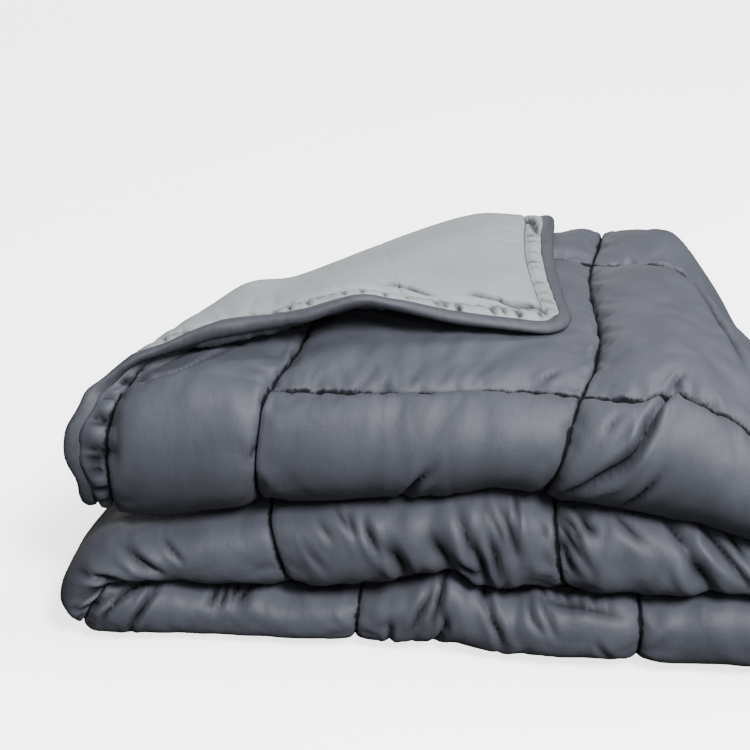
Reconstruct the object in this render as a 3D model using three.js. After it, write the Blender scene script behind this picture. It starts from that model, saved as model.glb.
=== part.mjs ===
import * as THREE from 'three';

// Lightweight single duvet, quilted in square boxes, folded and set down as a stack.
// Millimetres, +Z up, the stack rests on Z = 0 and its long front faces -Y.
//
// The duvet is laid out flat first. u runs along its length from the end that shows on top of
// the stack, v runs across its width from the free edge at the rear, and w is the height above
// the middle of the filling, positive on the dark face. place(u, v, w) then folds it:
// in three across its width, in three along its length, with one top corner turned over.

// Duvet, as drawn in by its filling from a 2200 x 1400 cover
const duvetLength = 2116;
const duvetWidth = 1344;
const cornerRadius = 35;

// Quilting
const boxPitch = 260;
const endMargin = 148;
const sideMargin = 152;
const borderSeam = 27;
const seamHalf = 4.8;
const facePuff = 9.2;
const reversePuff = 7.1;
const rimHalf = 2.2;
const rimGain = 2.6;
const borderPuff = 0.26;
const facePressed = 0.85;
const reversePressed = 0.8;
const pressedShare = 0.88;

// Edge binding
const bindingWidth = 12;
const bindingGap = 0.8;

// Fold across the width: top layer, front nose, bottom layer, rear nose, middle layer
const layerPitch = 28;
const noseY = 42;
const topRun = 422;
const bottomRun = 400;
const frontRadius = layerPitch;
const rearRadius = layerPitch / 2;
const stripHeight = 3 * layerPitch;
const noseStart = topRun;
const noseEnd = noseStart + Math.PI * frontRadius;
const rearStart = noseEnd + bottomRun;
const rearEnd = rearStart + Math.PI * rearRadius;

// Fold along the length: top strip, right turn, middle strip, left turn, bottom strip
const stripGap = 1.1;
const leftEndX = 12;
const rightTurnX = 605;
const leftTurnX = 4;
const runTake = 0.97;
const rightTurnStart = rightTurnX - leftEndX;
const rightTurnEnd = 735;
const leftTurnStart = rightTurnEnd + (rightTurnX - leftTurnX) / runTake;
const leftTurnEnd = 1464.7;
const rightTurnFlat = 0.75;
const leftTurnFlat = 0.5;
const lowCrease = stripHeight + stripGap;
const highCrease = 2 * stripHeight + 3 * stripGap;
const stackTop = 3 * stripHeight + 4 * stripGap;

// Settled heights of the two creases between the strips and of the top, along the stack
const settledLevels = [
  { x: -60, low: 44, mid: 118, top: 248 },
  { x: 0, low: 48, mid: 121, top: 252 },
  { x: 60, low: 51, mid: 127, top: 258 },
  { x: 160, low: 55, mid: 138, top: 260 },
  { x: 280, low: 63, mid: 150, top: 261 },
  { x: 420, low: 68, mid: 157, top: 261 },
  { x: 500, low: 69, mid: 151, top: 263 },
  { x: 540, low: 71, mid: 140, top: 252 },
  { x: 580, low: 73, mid: 127, top: 230 },
  { x: 620, low: 73, mid: 117, top: 204 },
  { x: 680, low: 70, mid: 107, top: 178 },
];
const floorSink = 3;
const bellyRise = 7;
const stackCentre = { x: 317.25, y: 228.98 };

// Turned corner: it swings over a straight fold line and lands at cornerLanding
const cornerStart = { x: leftEndX, y: noseY + topRun };
const cornerLanding = { x: 421, y: 132 };
const rollRadius = 15;
const flapHeight = 33;

// Height of the flap above the layer under it, along the old end edge and the old side edge
const flapFront = [
  { at: 0, rise: 21 },
  { at: 25, rise: 23 },
  { at: 70, rise: 32 },
  { at: 115, rise: 42 },
  { at: 160, rise: 58 },
  { at: 188, rise: 66 },
  { at: 215, rise: 64 },
  { at: 245, rise: 58 },
  { at: 300, rise: 54 },
  { at: 340, rise: 52 },
  { at: 380, rise: 48 },
  { at: 430, rise: 40 },
];
const flapSide = [
  { at: 0, rise: 19 },
  { at: 100, rise: 23 },
  { at: 170, rise: 32 },
  { at: 220, rise: 30 },
  { at: 270, rise: 28 },
  { at: 360, rise: 26 },
];

// Deep creases pressed into the face, from one place on the cloth to another
const pressedCreases = [
  { u0: 488, v0: 412, u1: 452, v1: 452, depth: 9, width: 11 },
  { u0: 452, v0: 452, u1: 408, v1: 502, depth: 9, width: 11 },
];

// Spacing of the mesh rows
const seamStep = 13;
const boxStepAlong = 66;
const boxStepAcross = 52;
const endRows = [12, 19.5, 27, 42];
const rollStep = 26;
const rollRows = [-36, -24, -12, 0, 12, 24, 36];
const rollClear = 46;
const rimRollRows = [-36, -28, -22, -16, -10, -5, 0, 5, 10, 16, 22, 28, 36];
const rimStep = 45;

const seamsAlong = seamLines(endMargin, duvetLength);
const seamsAcross = seamLines(sideMargin, duvetWidth);

function seamLines(margin, size) {
  const lines = [];
  for (let at = margin; at < size - margin / 2; at += boxPitch) {
    lines.push(at);
  }
  return lines;
}

function clamp(value, low, high) {
  return Math.min(Math.max(value, low), high);
}

function ease(value, from, to) {
  const t = clamp((value - from) / (to - from), 0, 1);
  return t * t * (3 - 2 * t);
}

function bell(distance, width) {
  return Math.exp(-((distance / width) ** 2));
}

// Smooth curve through the rows of a table
function readTable(rows, key, column, value) {
  const last = rows.length - 1;
  const at = clamp(value, rows[0][key], rows[last][key]);
  let k = 0;
  while (k < last - 1 && at > rows[k + 1][key]) {
    k += 1;
  }
  const slope = (i) => {
    const a = Math.max(i - 1, 0);
    const b = Math.min(i + 1, last);
    return (rows[b][column] - rows[a][column]) / (rows[b][key] - rows[a][key]);
  };
  const step = rows[k + 1][key] - rows[k][key];
  const t = (at - rows[k][key]) / step;
  const rest = 1 - t;
  return (1 + 2 * t) * rest * rest * rows[k][column]
    + t * rest * rest * step * slope(k)
    + t * t * (3 - 2 * t) * rows[k + 1][column]
    - t * t * rest * step * slope(k + 1);
}

// 0 on a seam, 1 in the middle of a full box
function crown(at, seams, size) {
  const lines = [borderSeam, ...seams, size - borderSeam];
  const gap = Math.min(...lines.map((line) => Math.abs(at - line)));
  const reach = clamp(gap / (boxPitch / 2), 0, 1);
  return (1 - (1 - reach) ** 2) ** 0.55;
}

// How far the face lies open at a place, 0 where another layer or the floor presses on it
function openShare(u, v) {
  const onNose = ease(v, noseStart - 30, noseStart + 10) * (1 - ease(v, noseEnd - 10, noseEnd + 30));
  const onTop = (1 - ease(v, noseStart, noseEnd)) * (1 - ease(u, rightTurnEnd - 60, rightTurnEnd));
  const onLeft = ease(u, leftTurnStart - 20, leftTurnStart + 30)
    * (1 - ease(u, leftTurnEnd - 30, leftTurnEnd + 20));
  const bared = acrossTurn(leftEndX + u, noseY + bottomRun - (v - rearEnd));
  const underFlap = ease(bared, -30, 10) * ease(v, rearEnd, rearEnd + 30) * (1 - ease(u, 440, 500));
  return Math.max(onNose, onTop, onLeft, underFlap);
}

function halfThickness(u, v, side) {
  const edge = Math.min(u, duvetLength - u, v, duvetWidth - v);
  if (edge < borderSeam) {
    const t = clamp(edge / borderSeam, 0, 1);
    const roll = borderPuff * Math.sqrt(1 - (2 * t - 1) ** 2);
    return rimHalf + rimGain * t + (side > 0 ? facePuff : reversePuff) * roll;
  }
  const drawn = (crown(u, seamsAlong, duvetLength) * crown(v, seamsAcross, duvetWidth)) ** 0.8;
  const border = ease(edge, borderSeam, borderSeam + 40);
  if (side < 0) {
    return seamHalf + reversePuff * (drawn + (1 - drawn) * reversePressed * border);
  }
  const covered = border * (1 - openShare(u, v));
  const full = facePuff * (drawn + (1 - drawn) * facePressed * covered);
  let half = (seamHalf + full) * (1 - (1 - pressedShare) * covered);
  for (const crease of pressedCreases) {
    half -= crease.depth * bell(distanceToCrease(u, v, crease), crease.width);
  }
  return Math.max(half, seamHalf - 2);
}

function distanceToCrease(u, v, crease) {
  const du = crease.u1 - crease.u0;
  const dv = crease.v1 - crease.v0;
  const t = clamp(((u - crease.u0) * du + (v - crease.v0) * dv) / (du * du + dv * dv), 0, 1);
  return Math.hypot(u - crease.u0 - t * du, v - crease.v0 - t * dv);
}

// Fold line of the turned corner: distance s towards the corner, distance t along the line
const turn = (() => {
  const dx = cornerStart.x - cornerLanding.x;
  const dy = cornerStart.y - cornerLanding.y;
  const reach = Math.hypot(dx, dy);
  return {
    x: (cornerStart.x + cornerLanding.x) / 2,
    y: (cornerStart.y + cornerLanding.y) / 2,
    nx: dx / reach,
    ny: dy / reach,
  };
})();

function acrossTurn(x, y) {
  return turn.nx * (x - turn.x) + turn.ny * (y - turn.y);
}

function alongTurn(x, y) {
  return turn.ny * (x - turn.x) - turn.nx * (y - turn.y);
}

// How far a place on the cloth belongs to the turned corner's roll and flap
function turnShare(u, v) {
  return u < rightTurnStart ? 1 - ease(v, noseStart + 8, noseStart + 44) : 0;
}

// The filling is squeezed along the fold line
function squeeze(u, v) {
  const s = acrossTurn(leftEndX + u, cornerStart.y - v);
  return 1 - 0.42 * bell(s, 42) * turnShare(u, v);
}

// Fold across the width
function section(v, w) {
  if (v < noseStart) {
    return { y: noseY + topRun - v, z: 2.5 * layerPitch + w };
  }
  if (v < noseEnd) {
    const angle = (v - noseStart) / frontRadius;
    const radius = frontRadius + w;
    return { y: noseY - radius * Math.sin(angle), z: 1.5 * layerPitch + radius * Math.cos(angle) };
  }
  if (v < rearStart) {
    return { y: noseY + v - noseEnd, z: 0.5 * layerPitch - w };
  }
  if (v < rearEnd) {
    const angle = (v - rearStart) / rearRadius;
    const radius = rearRadius + w;
    return { y: noseY + bottomRun + radius * Math.sin(angle), z: layerPitch - radius * Math.cos(angle) };
  }
  return { y: noseY + bottomRun - (v - rearEnd), z: 1.5 * layerPitch + w };
}

// Fold along the length
function stacked(u, z) {
  if (u < rightTurnStart) {
    return { x: leftEndX + u, z: 2 * stripHeight + 4 * stripGap + z };
  }
  if (u < rightTurnEnd) {
    const angle = Math.PI * (u - rightTurnStart) / (rightTurnEnd - rightTurnStart);
    const radius = stripGap + z;
    const x = rightTurnX + rightTurnFlat * radius * Math.sin(angle);
    return { x: x, z: highCrease + radius * Math.cos(angle) };
  }
  if (u < leftTurnStart) {
    return { x: rightTurnX - runTake * (u - rightTurnEnd), z: highCrease - stripGap - z };
  }
  if (u < leftTurnEnd) {
    const angle = Math.PI * (u - leftTurnStart) / (leftTurnEnd - leftTurnStart);
    const radius = stripGap + stripHeight - z;
    const x = leftTurnX - leftTurnFlat * radius * Math.sin(angle);
    return { x: x, z: lowCrease + radius * Math.cos(angle) };
  }
  return { x: leftTurnX + runTake * (u - leftTurnEnd), z: z };
}

// Crease and top heights where the stack has settled
function levelsAt(x, y) {
  const s = acrossTurn(x, y);
  const slump = (1 - 0.42 * ease(s, 20, 215)) * (1 - 0.5 * ease(x, 490, 640) * ease(y, 140, 420));
  const top = readTable(settledLevels, 'x', 'top', x)
    - 8 * (1 - ease(y, 40, 130))
    - 38 * ease(y, 375, 480)
    - 12 * ease(s, -110, -5) * ease(y, 50, 190)
    - 8 * ease(y, 240, 340) * ease(x, 380, 460);
  const belly = bellyRise * bell(y - 240, 120);
  return {
    low: slump * (readTable(settledLevels, 'x', 'low', x) + belly / 2),
    mid: slump * (readTable(settledLevels, 'x', 'mid', x) + belly),
    top: slump * top,
  };
}

function settledHeight(levels, z) {
  if (z < lowCrease) {
    return levels.low * z / lowCrease;
  }
  if (z < highCrease) {
    return levels.low + (levels.mid - levels.low) * (z - lowCrease) / (highCrease - lowCrease);
  }
  return levels.mid + (levels.top - levels.mid) * (z - highCrease) / (stackTop - highCrease);
}

// Sideways lean of the strips, by height in the stack
function lean(z) {
  const stops = [
    { z: 0, shift: 0 },
    { z: lowCrease, shift: 5 },
    { z: highCrease, shift: -10 },
    { z: stackTop, shift: 5 },
  ];
  const at = clamp(z, 0, stackTop);
  let k = 0;
  while (k < 2 && at > stops[k + 1].z) {
    k += 1;
  }
  const t = (at - stops[k].z) / (stops[k + 1].z - stops[k].z);
  return stops[k].shift + t * (stops[k + 1].shift - stops[k].shift);
}

// The turned corner rolls over the fold line and lies back, arched along its front edge
function turnedCorner(u, v, w, x, y) {
  const s = acrossTurn(x, y);
  const t = alongTurn(x, y);
  const rollStart = -Math.PI * rollRadius / 2;
  const share = turnShare(u, v);
  const run = Math.max(s - rollStart, 0) * share;
  if (run === 0) {
    return { x: x, y: y, lift: 0 };
  }
  const angle = clamp(run / rollRadius, 0, Math.PI);
  const beyond = Math.max(run - Math.PI * rollRadius, 0);
  const swing = (radius) => rollStart + radius * Math.sin(angle) - beyond + (s - rollStart) * (1 - share);
  const carried = (across) => ({
    x: turn.x + turn.nx * across + turn.ny * t,
    y: turn.y + turn.ny * across - turn.nx * t,
  });
  const middle = carried(swing(rollRadius));
  const levels = levelsAt(middle.x, middle.y);
  const half = w * (levels.top - levels.mid) / (stackTop - highCrease);
  const landed = carried(swing(rollRadius - half));
  const nearFront = Math.exp(-u / 65);
  const nearSide = Math.exp(-v / 50);
  const height = flapHeight
    + (readTable(flapFront, 'at', 'rise', v) - flapHeight) * nearFront * (1 - nearSide / 2)
    + (readTable(flapSide, 'at', 'rise', u) - flapHeight) * nearSide * (1 - nearFront / 2);
  const hump = 14 * bell(landed.x - 125, 38) * bell(landed.y - 165, 38);
  const lift = rollRadius - (rollRadius - half) * Math.cos(angle) - half
    + (height - 2 * rollRadius) * ease(run, Math.PI * rollRadius / 2, Math.PI * rollRadius + 70)
    + hump * ease(run, 0, Math.PI * rollRadius);
  return { x: landed.x, y: landed.y, lift: lift };
}

// From the flat duvet to its place in the stack
function place(u, v, offset) {
  const w = offset * squeeze(u, v);
  const across = section(v, w);
  const along = stacked(u, across.z);
  const corner = turnedCorner(u, v, w, along.x, across.y);
  let x = corner.x + lean(along.z);
  let y = corner.y;
  let z = settledHeight(levelsAt(corner.x, corner.y), along.z) + corner.lift;
  if (u >= rightTurnStart || v > noseEnd) {
    x += 0.16 * Math.max(y - 90, 0) * (1 - ease(x, 0, 330));
  }
  if (along.z < highCrease + stripGap) {
    x += (8 + 30 * ease(along.z, 55, 165)) * (1 - ease(x, -10, 150));
  }
  if (u < rightTurnStart) {
    const slip = 8 * ease(v, noseEnd - 60, noseEnd + 30) + (v > rearEnd ? 18 : 0);
    x -= slip * bell(y - 60, 60) * (1 - ease(x, 0, 160));
  }
  x += 28 * bell(Math.hypot(x - 370, y - 420), 120);
  const nearFront = 1 - ease(y, 100, 300);
  y -= 13 * (1 - ease(x, 20, 150)) * (1 - ease(z, 60, 150)) * nearFront;
  y -= 9 * ease(x, 300, 420) * (1 - ease(z, 50, 120)) * nearFront;
  return [x, y, Math.max(z - floorSink, 0)];
}

// Rows of the mesh: close to each seam, spread over each box, even round each bend
function meshRows(seams, size, boxStep, bends) {
  const firm = [...endRows, ...endRows.map((row) => size - row), ...seams];
  const rows = [...firm];
  for (const seam of seams) {
    rows.push(seam - seamStep, seam + seamStep);
  }
  const stops = [...rows].sort((a, b) => a - b);
  for (let k = 0; k + 1 < stops.length; k += 1) {
    const parts = Math.round((stops[k + 1] - stops[k]) / boxStep);
    for (let part = 1; part < parts; part += 1) {
      rows.push(stops[k] + (stops[k + 1] - stops[k]) * part / parts);
    }
  }
  let kept = rows;
  for (const bend of bends) {
    const step = (bend.to - bend.from) / bend.parts;
    const clear = (row) => row < bend.from - step / 2 || row > bend.to + step / 2;
    kept = kept.filter((row) => seams.includes(row) || clear(row));
    for (let part = 0; part <= bend.parts; part += 1) {
      const row = bend.from + step * part;
      if (seams.every((seam) => Math.abs(seam - row) > step / 2)) {
        kept.push(row);
      }
    }
  }
  return kept.sort((a, b) => a - b);
}

const rowsAlong = meshRows(seamsAlong, duvetLength, boxStepAlong, [
  { from: rightTurnStart, to: rightTurnEnd, parts: 10 },
  { from: leftTurnStart, to: leftTurnEnd, parts: 9 },
]);
const rowsAcross = meshRows(seamsAcross, duvetWidth, boxStepAcross, [
  { from: noseStart, to: noseEnd, parts: 7 },
  { from: rearStart, to: rearEnd, parts: 6 },
]);

// Points round the rim, each with the direction that leads out of the cloth
function rimPoints() {
  const rim = bindingWidth;
  const inner = cornerRadius - rim;
  const points = [];
  const near = (row, size) => row > rim + inner + 4 && row < size - rim - inner - 4;
  const cross = (fixed, alongU) => rimRollRows.map((s) => {
    if (alongU) {
      const y = cornerStart.y - fixed;
      return (s - turn.ny * (y - turn.y)) / turn.nx + turn.x - leftEndX;
    }
    const x = leftEndX + fixed;
    return cornerStart.y - ((s - turn.nx * (x - turn.x)) / turn.ny + turn.y);
  });
  const merge = (rows, extra) => {
    const lo = Math.min(...extra) - 12;
    const hi = Math.max(...extra) + 12;
    const joined = [...rows.filter((row) => row < lo || row > hi), ...extra].sort((a, b) => a - b);
    return joined.flatMap((row, k) => {
      const next = joined[k + 1];
      return next - row > rimStep ? [row, (row + next) / 2] : [row];
    });
  };
  const alongNear = merge(rowsAlong.filter((row) => near(row, duvetLength)), cross(rim, true));
  const acrossNear = merge(
    rowsAcross.filter((row) => near(row, duvetWidth)),
    cross(rim, false).filter((row) => row < noseStart + 8),
  );
  const alongFar = rowsAlong.filter((row) => near(row, duvetLength));
  const acrossFar = rowsAcross.filter((row) => near(row, duvetWidth));
  const arc = (cu, cv, from) => {
    for (let k = 0; k <= 4; k += 1) {
      const angle = from + Math.PI / 2 * k / 4;
      const out = [Math.cos(angle), Math.sin(angle)];
      points.push({ u: cu + inner * out[0], v: cv + inner * out[1], out: out });
    }
  };
  const low = rim + inner;
  alongNear.forEach((u) => points.push({ u: u, v: rim, out: [0, -1] }));
  arc(duvetLength - low, low, -Math.PI / 2);
  acrossFar.forEach((v) => points.push({ u: duvetLength - rim, v: v, out: [1, 0] }));
  arc(duvetLength - low, duvetWidth - low, 0);
  [...alongFar].reverse().forEach((u) => points.push({ u: u, v: duvetWidth - rim, out: [0, 1] }));
  arc(low, duvetWidth - low, Math.PI / 2);
  [...acrossNear].reverse().forEach((v) => points.push({ u: rim, v: v, out: [-1, 0] }));
  arc(low, low, Math.PI);
  return points;
}

// True where a flat place lies inside the rounded rim by at least the given distance
function insideRim(u, v, distance) {
  const rim = bindingWidth + distance;
  const centre = cornerRadius;
  const du = Math.min(u, duvetLength - u);
  const dv = Math.min(v, duvetWidth - v);
  if (du < rim || dv < rim) {
    return false;
  }
  if (du < centre && dv < centre) {
    return Math.hypot(centre - du, centre - dv) < centre - rim;
  }
  return true;
}

function isBeside(row, seams) {
  return seams.some((seam) => Math.abs(Math.abs(row - seam) - seamStep) < 1);
}

// Inner points: the rows, with their own rows along the fold line and the creases
function innerPoints() {
  const points = [];
  const flatTurn = (u, v) => acrossTurn(leftEndX + u, cornerStart.y - v);
  for (const u of rowsAlong) {
    for (const v of rowsAcross) {
      const rolled = v < noseStart + 8 && u < rightTurnStart && Math.abs(flatTurn(u, v)) < rollClear;
      const creased = pressedCreases.some((crease) => distanceToCrease(u, v, crease) < 15);
      const besideSeam = isBeside(u, seamsAlong) || isBeside(v, seamsAcross);
      const spared = besideSeam && openShare(u, v) < 0.05;
      if (insideRim(u, v, 5) && !rolled && !creased && !spared) {
        points.push([u, v]);
      }
    }
  }
  for (const s of rollRows) {
    for (let t = -320; t <= 320; t += rollStep) {
      const x = turn.x + turn.nx * s + turn.ny * t;
      const y = turn.y + turn.ny * s - turn.nx * t;
      const u = x - leftEndX;
      const v = cornerStart.y - y;
      if (insideRim(u, v, 11) && v < noseStart + 4) {
        points.push([u, v]);
      }
    }
  }
  for (const crease of pressedCreases) {
    const du = crease.u1 - crease.u0;
    const dv = crease.v1 - crease.v0;
    const reach = Math.hypot(du, dv);
    for (let along = 0; along < reach; along += 14) {
      for (const side of [-11, 0, 11]) {
        const u = crease.u0 + (du * along - dv * side) / reach;
        const v = crease.v0 + (dv * along + du * side) / reach;
        points.push([u, v]);
      }
    }
  }
  return points;
}

// Triangles over scattered flat points, none holding another point in its circle
function triangulate(points) {
  const far = 50000;
  const all = points.map(([u, v], i) => [u + 0.02 * Math.sin(i * 12.9), v + 0.02 * Math.sin(i * 78.2)]);
  const first = all.length;
  all.push([-far, -far], [far, -far], [0, far]);
  const circle = (a, b, c) => {
    const [ax, ay] = all[a];
    const bx = all[b][0] - ax;
    const by = all[b][1] - ay;
    const cx = all[c][0] - ax;
    const cy = all[c][1] - ay;
    const twice = 2 * (bx * cy - by * cx);
    const ux = (cy * (bx * bx + by * by) - by * (cx * cx + cy * cy)) / twice;
    const uy = (bx * (cx * cx + cy * cy) - cx * (bx * bx + by * by)) / twice;
    return { corners: [a, b, c], x: ax + ux, y: ay + uy, r2: ux * ux + uy * uy };
  };
  let open = [circle(first, first + 1, first + 2)];
  const closed = [];
  const order = points.map((_, i) => i).sort((a, b) => all[a][0] - all[b][0]);
  for (const i of order) {
    const [px, py] = all[i];
    const edges = new Map();
    const stay = [];
    for (const tri of open) {
      const dx = px - tri.x;
      const dy = py - tri.y;
      if (dx > 0 && dx * dx > tri.r2) {
        closed.push(tri);
      } else if (dx * dx + dy * dy < tri.r2) {
        const [a, b, c] = tri.corners;
        for (const [from, to] of [[a, b], [b, c], [c, a]]) {
          if (!edges.delete(`${to} ${from}`)) {
            edges.set(`${from} ${to}`, [from, to]);
          }
        }
      } else {
        stay.push(tri);
      }
    }
    for (const [from, to] of edges.values()) {
      stay.push(circle(from, to, i));
    }
    open = stay;
  }
  return [...closed, ...open].map((tri) => tri.corners).filter((tri) => tri.every((i) => i < first));
}

// Closed solid of the filled duvet
function duvetGeometry() {
  const rim = rimPoints();
  const inner = innerPoints();
  const cloth = [...rim.map((point) => [point.u, point.v]), ...inner];
  const outside = rim.map((point) => [point.u + 30 * point.out[0], point.v + 30 * point.out[1]]);
  const cells = triangulate([...cloth, ...outside])
    .filter((tri) => tri.every((i) => i < cloth.length))
    .filter((tri) => insideRim(
      tri.reduce((sum, i) => sum + cloth[i][0], 0) / 3,
      tri.reduce((sum, i) => sum + cloth[i][1], 0) / 3,
      0,
    ));
  const count = cloth.length;
  const vertices = [];
  for (const side of [1, -1]) {
    for (const [u, v] of cloth) {
      vertices.push(...place(u, v, side * halfThickness(u, v, side)));
    }
  }
  const faces = [];
  for (const [a, b, c] of cells) {
    faces.push(a, c, b, a + count, b + count, c + count);
  }
  for (let k = 0; k < rim.length; k += 1) {
    const next = (k + 1) % rim.length;
    faces.push(k, next, k + count, next, next + count, k + count);
  }
  return solid(vertices, faces);
}

// Rounded strip round the rim; profile rows are distance out of the rim and height
const bindingProfile = [
  { out: 0, w: -3.6 },
  { out: 0, w: 3.6 },
  { out: 4.5, w: 4.4 },
  { out: 9, w: 3.4 },
  { out: bindingWidth - bindingGap, w: 0 },
  { out: 9, w: -3.4 },
  { out: 4.5, w: -4.4 },
];

function bindingGeometry() {
  const rim = rimPoints();
  const ring = bindingProfile.length;
  const vertices = [];
  for (const point of rim) {
    for (const corner of bindingProfile) {
      const out = bindingGap + corner.out;
      vertices.push(...place(point.u + out * point.out[0], point.v + out * point.out[1], corner.w));
    }
  }
  const faces = [];
  for (let k = 0; k < rim.length; k += 1) {
    const here = k * ring;
    const next = ((k + 1) % rim.length) * ring;
    for (let i = 0; i < ring; i += 1) {
      const j = (i + 1) % ring;
      faces.push(here + i, next + i, next + j, here + i, next + j, here + j);
    }
  }
  return solid(vertices, faces);
}

// Indexed geometry with its faces looking outwards
function solid(vertices, faces) {
  let volume = 0;
  for (let k = 0; k < faces.length; k += 3) {
    const [a, b, c] = [0, 1, 2].map((i) => new THREE.Vector3().fromArray(vertices, 3 * faces[k + i]));
    volume += a.dot(b.cross(c)) / 6;
  }
  const outward = volume > 0 ? faces : faces.reverse();
  const geometry = new THREE.BufferGeometry();
  geometry.setAttribute('position', new THREE.Float32BufferAttribute(vertices, 3));
  geometry.setIndex(outward);
  geometry.computeVertexNormals();
  return geometry;
}

function piece(name, geometry, colour, roughness) {
  const material = new THREE.MeshStandardMaterial({ color: colour, roughness: roughness, metalness: 0 });
  const mesh = new THREE.Mesh(geometry, material);
  mesh.name = name;
  return mesh;
}

// The origin is on the floor, under the middle of the stack
const duvet = new THREE.Group();
duvet.name = 'lightweight_duvet';
duvet.position.set(-stackCentre.x, -stackCentre.y, 0);
duvet.add(piece('duvet', duvetGeometry(), 0x5c5f66, 0.8));
duvet.add(piece('binding', bindingGeometry(), 0x54575d, 0.75));

export default duvet;
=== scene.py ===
import math
from collections import namedtuple

import bmesh
import bpy
import numpy as np
from bpy.props import FloatProperty, FloatVectorProperty, PointerProperty
from bpy.types import Operator, Panel, PropertyGroup
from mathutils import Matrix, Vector


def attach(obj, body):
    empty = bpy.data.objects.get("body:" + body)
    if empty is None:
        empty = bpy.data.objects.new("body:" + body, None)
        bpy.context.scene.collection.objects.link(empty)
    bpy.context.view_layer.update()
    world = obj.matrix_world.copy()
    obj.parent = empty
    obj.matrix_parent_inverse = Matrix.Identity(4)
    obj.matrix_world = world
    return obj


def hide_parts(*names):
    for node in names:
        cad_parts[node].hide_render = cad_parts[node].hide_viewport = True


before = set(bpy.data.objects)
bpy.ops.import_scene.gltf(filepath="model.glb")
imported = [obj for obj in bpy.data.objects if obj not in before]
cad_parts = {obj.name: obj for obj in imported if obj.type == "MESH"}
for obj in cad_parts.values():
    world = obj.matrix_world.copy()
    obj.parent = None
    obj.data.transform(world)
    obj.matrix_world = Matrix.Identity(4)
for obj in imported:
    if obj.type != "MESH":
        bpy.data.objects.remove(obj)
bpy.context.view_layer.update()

bl_info = {
    "name": "Folded Duvet",
    "version": (1, 0, 0),
    "blender": (4, 5, 0),
    "location": "View3D > Sidebar > Duvet",
    "description": "A quilted lightweight duvet folded into a soft stack, with a corner turned over",
    "category": "Add Mesh",
}

# The duvet is laid out flat first, in millimetres. u runs along its length from the end that
# shows on top, v across its width from the free edge at the rear, and w is the height above the
# middle of the filling, positive on the charcoal face. fold() takes (u, v, w) to the stack.

# Flat duvet and its quilting
LENGTH = 2116.0
WIDTH = 1344.0
CORNER = 35.0
BOX = 260.0
END_MARGIN = 148.0
SIDE_MARGIN = 152.0
BORDER_SEAM = 27.0
BINDING = 12.0
SEAM_HALF = 4.8
RIM_HALF = 2.2
RIM_GAIN = 2.6
BORDER_PUFF = 0.26
FACE_PRESSED = 0.85
REVERSE_PRESSED = 0.8
PRESSED_SHARE = 0.88
SEAMS_ALONG = END_MARGIN + BOX * np.arange(8)
SEAMS_ACROSS = SIDE_MARGIN + BOX * np.arange(5)

# Fold across the width: top layer, front nose, bottom layer, rear nose, middle layer
PITCH = 28.0
NOSE_Y = 42.0
TOP_RUN = 422.0
BOTTOM_RUN = 400.0
FRONT_RADIUS = PITCH
REAR_RADIUS = PITCH / 2
STRIP = 3 * PITCH
NOSE_START = TOP_RUN
NOSE_END = NOSE_START + math.pi * FRONT_RADIUS
REAR_START = NOSE_END + BOTTOM_RUN
REAR_END = REAR_START + math.pi * REAR_RADIUS

# Fold along the length: top strip, right turn, middle strip, left turn, bottom strip
GAP = 1.1
LEFT_END_X = 12.0
RIGHT_TURN_X = 605.0
LEFT_TURN_X = 4.0
RUN_TAKE = 0.97
RIGHT_TURN_START = RIGHT_TURN_X - LEFT_END_X
RIGHT_TURN_END = 735.0
LEFT_TURN_START = RIGHT_TURN_END + (RIGHT_TURN_X - LEFT_TURN_X) / RUN_TAKE
LEFT_TURN_END = 1464.7
RIGHT_TURN_FLAT = 0.75
LEFT_TURN_FLAT = 0.5
LOW_CREASE = STRIP + GAP
HIGH_CREASE = 2 * STRIP + 3 * GAP
STACK_TOP = 3 * STRIP + 4 * GAP
FLOOR_SINK = 3.0
BELLY = 7.0
STACK_CENTRE = (317.25, 228.98)

# Share of its height that the stack has lost beyond the turned corner's fold line and at the rear
# right, and share of its thickness that the filling has lost on the fold line, with how far it
# reaches to either side
CORNER_SLUMP = 0.42
RIGHT_SLUMP = 0.5
TURN_SQUEEZE = 0.42
TURN_SQUEEZE_REACH = 42
# Slide to the right at the floor, the low crease, the high crease and the top
STRIP_SLIDES = [0, 5, -10, 5]
# Below the top layer the left end draws in towards the rear, and the two lower strips start
# further in, the middle one most
LEFT_LEAN = 0.16
LOWER_SETBACK = 8
MIDDLE_SETBACK = 30
# Near the front the top strip's bottom layer slips out at the left and its middle layer further,
# and the strip's end pushes out most at one place on the front nose
UNDER_SLIP = 8
MIDDLE_SLIP = 18
PUSHED_OUT_AT = 450
# The rear is pushed to the right near its middle, and the front bulges low down at the left and
# at the right
REAR_PUSH = 28
LEFT_BULGE = 13
RIGHT_BULGE = 9

# Least distance of either panel from the middle of the filling, and the lowest relief that the
# creases of the face may add up to
THINNEST_HALF = 0.8
DEEPEST_CREASE = -13

# Settled heights along the stack: x, low crease, high crease, top
LEVELS = np.array([
    (-60, 44, 118, 248),
    (0, 48, 121, 252),
    (60, 51, 127, 258),
    (160, 55, 138, 260),
    (280, 63, 150, 261),
    (420, 68, 157, 261),
    (500, 69, 151, 263),
    (540, 71, 140, 252),
    (580, 73, 127, 230),
    (620, 73, 117, 204),
    (680, 70, 107, 178),
], float)

# How far the two creases ride up along the front: x, low crease, high crease
FRONT_RISE = np.array([
    (-60, 8, -16), (0, 10, -20), (40, 9, -19), (68, 5, -19), (92, 1, -18), (117, -3, -16),
    (151, -5, -17), (175, -9, -9), (192, -9, -10), (217, -10, -10), (242, -9, -9), (267, -5, -7),
    (292, 5, -6), (317, 13, -6), (341, 0, -1), (366, -10, 4), (391, -3, -1), (416, -5, -8),
    (466, -4, -9), (516, -2, -10), (541, 4, -4), (680, 6, -2),
], float)

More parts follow.
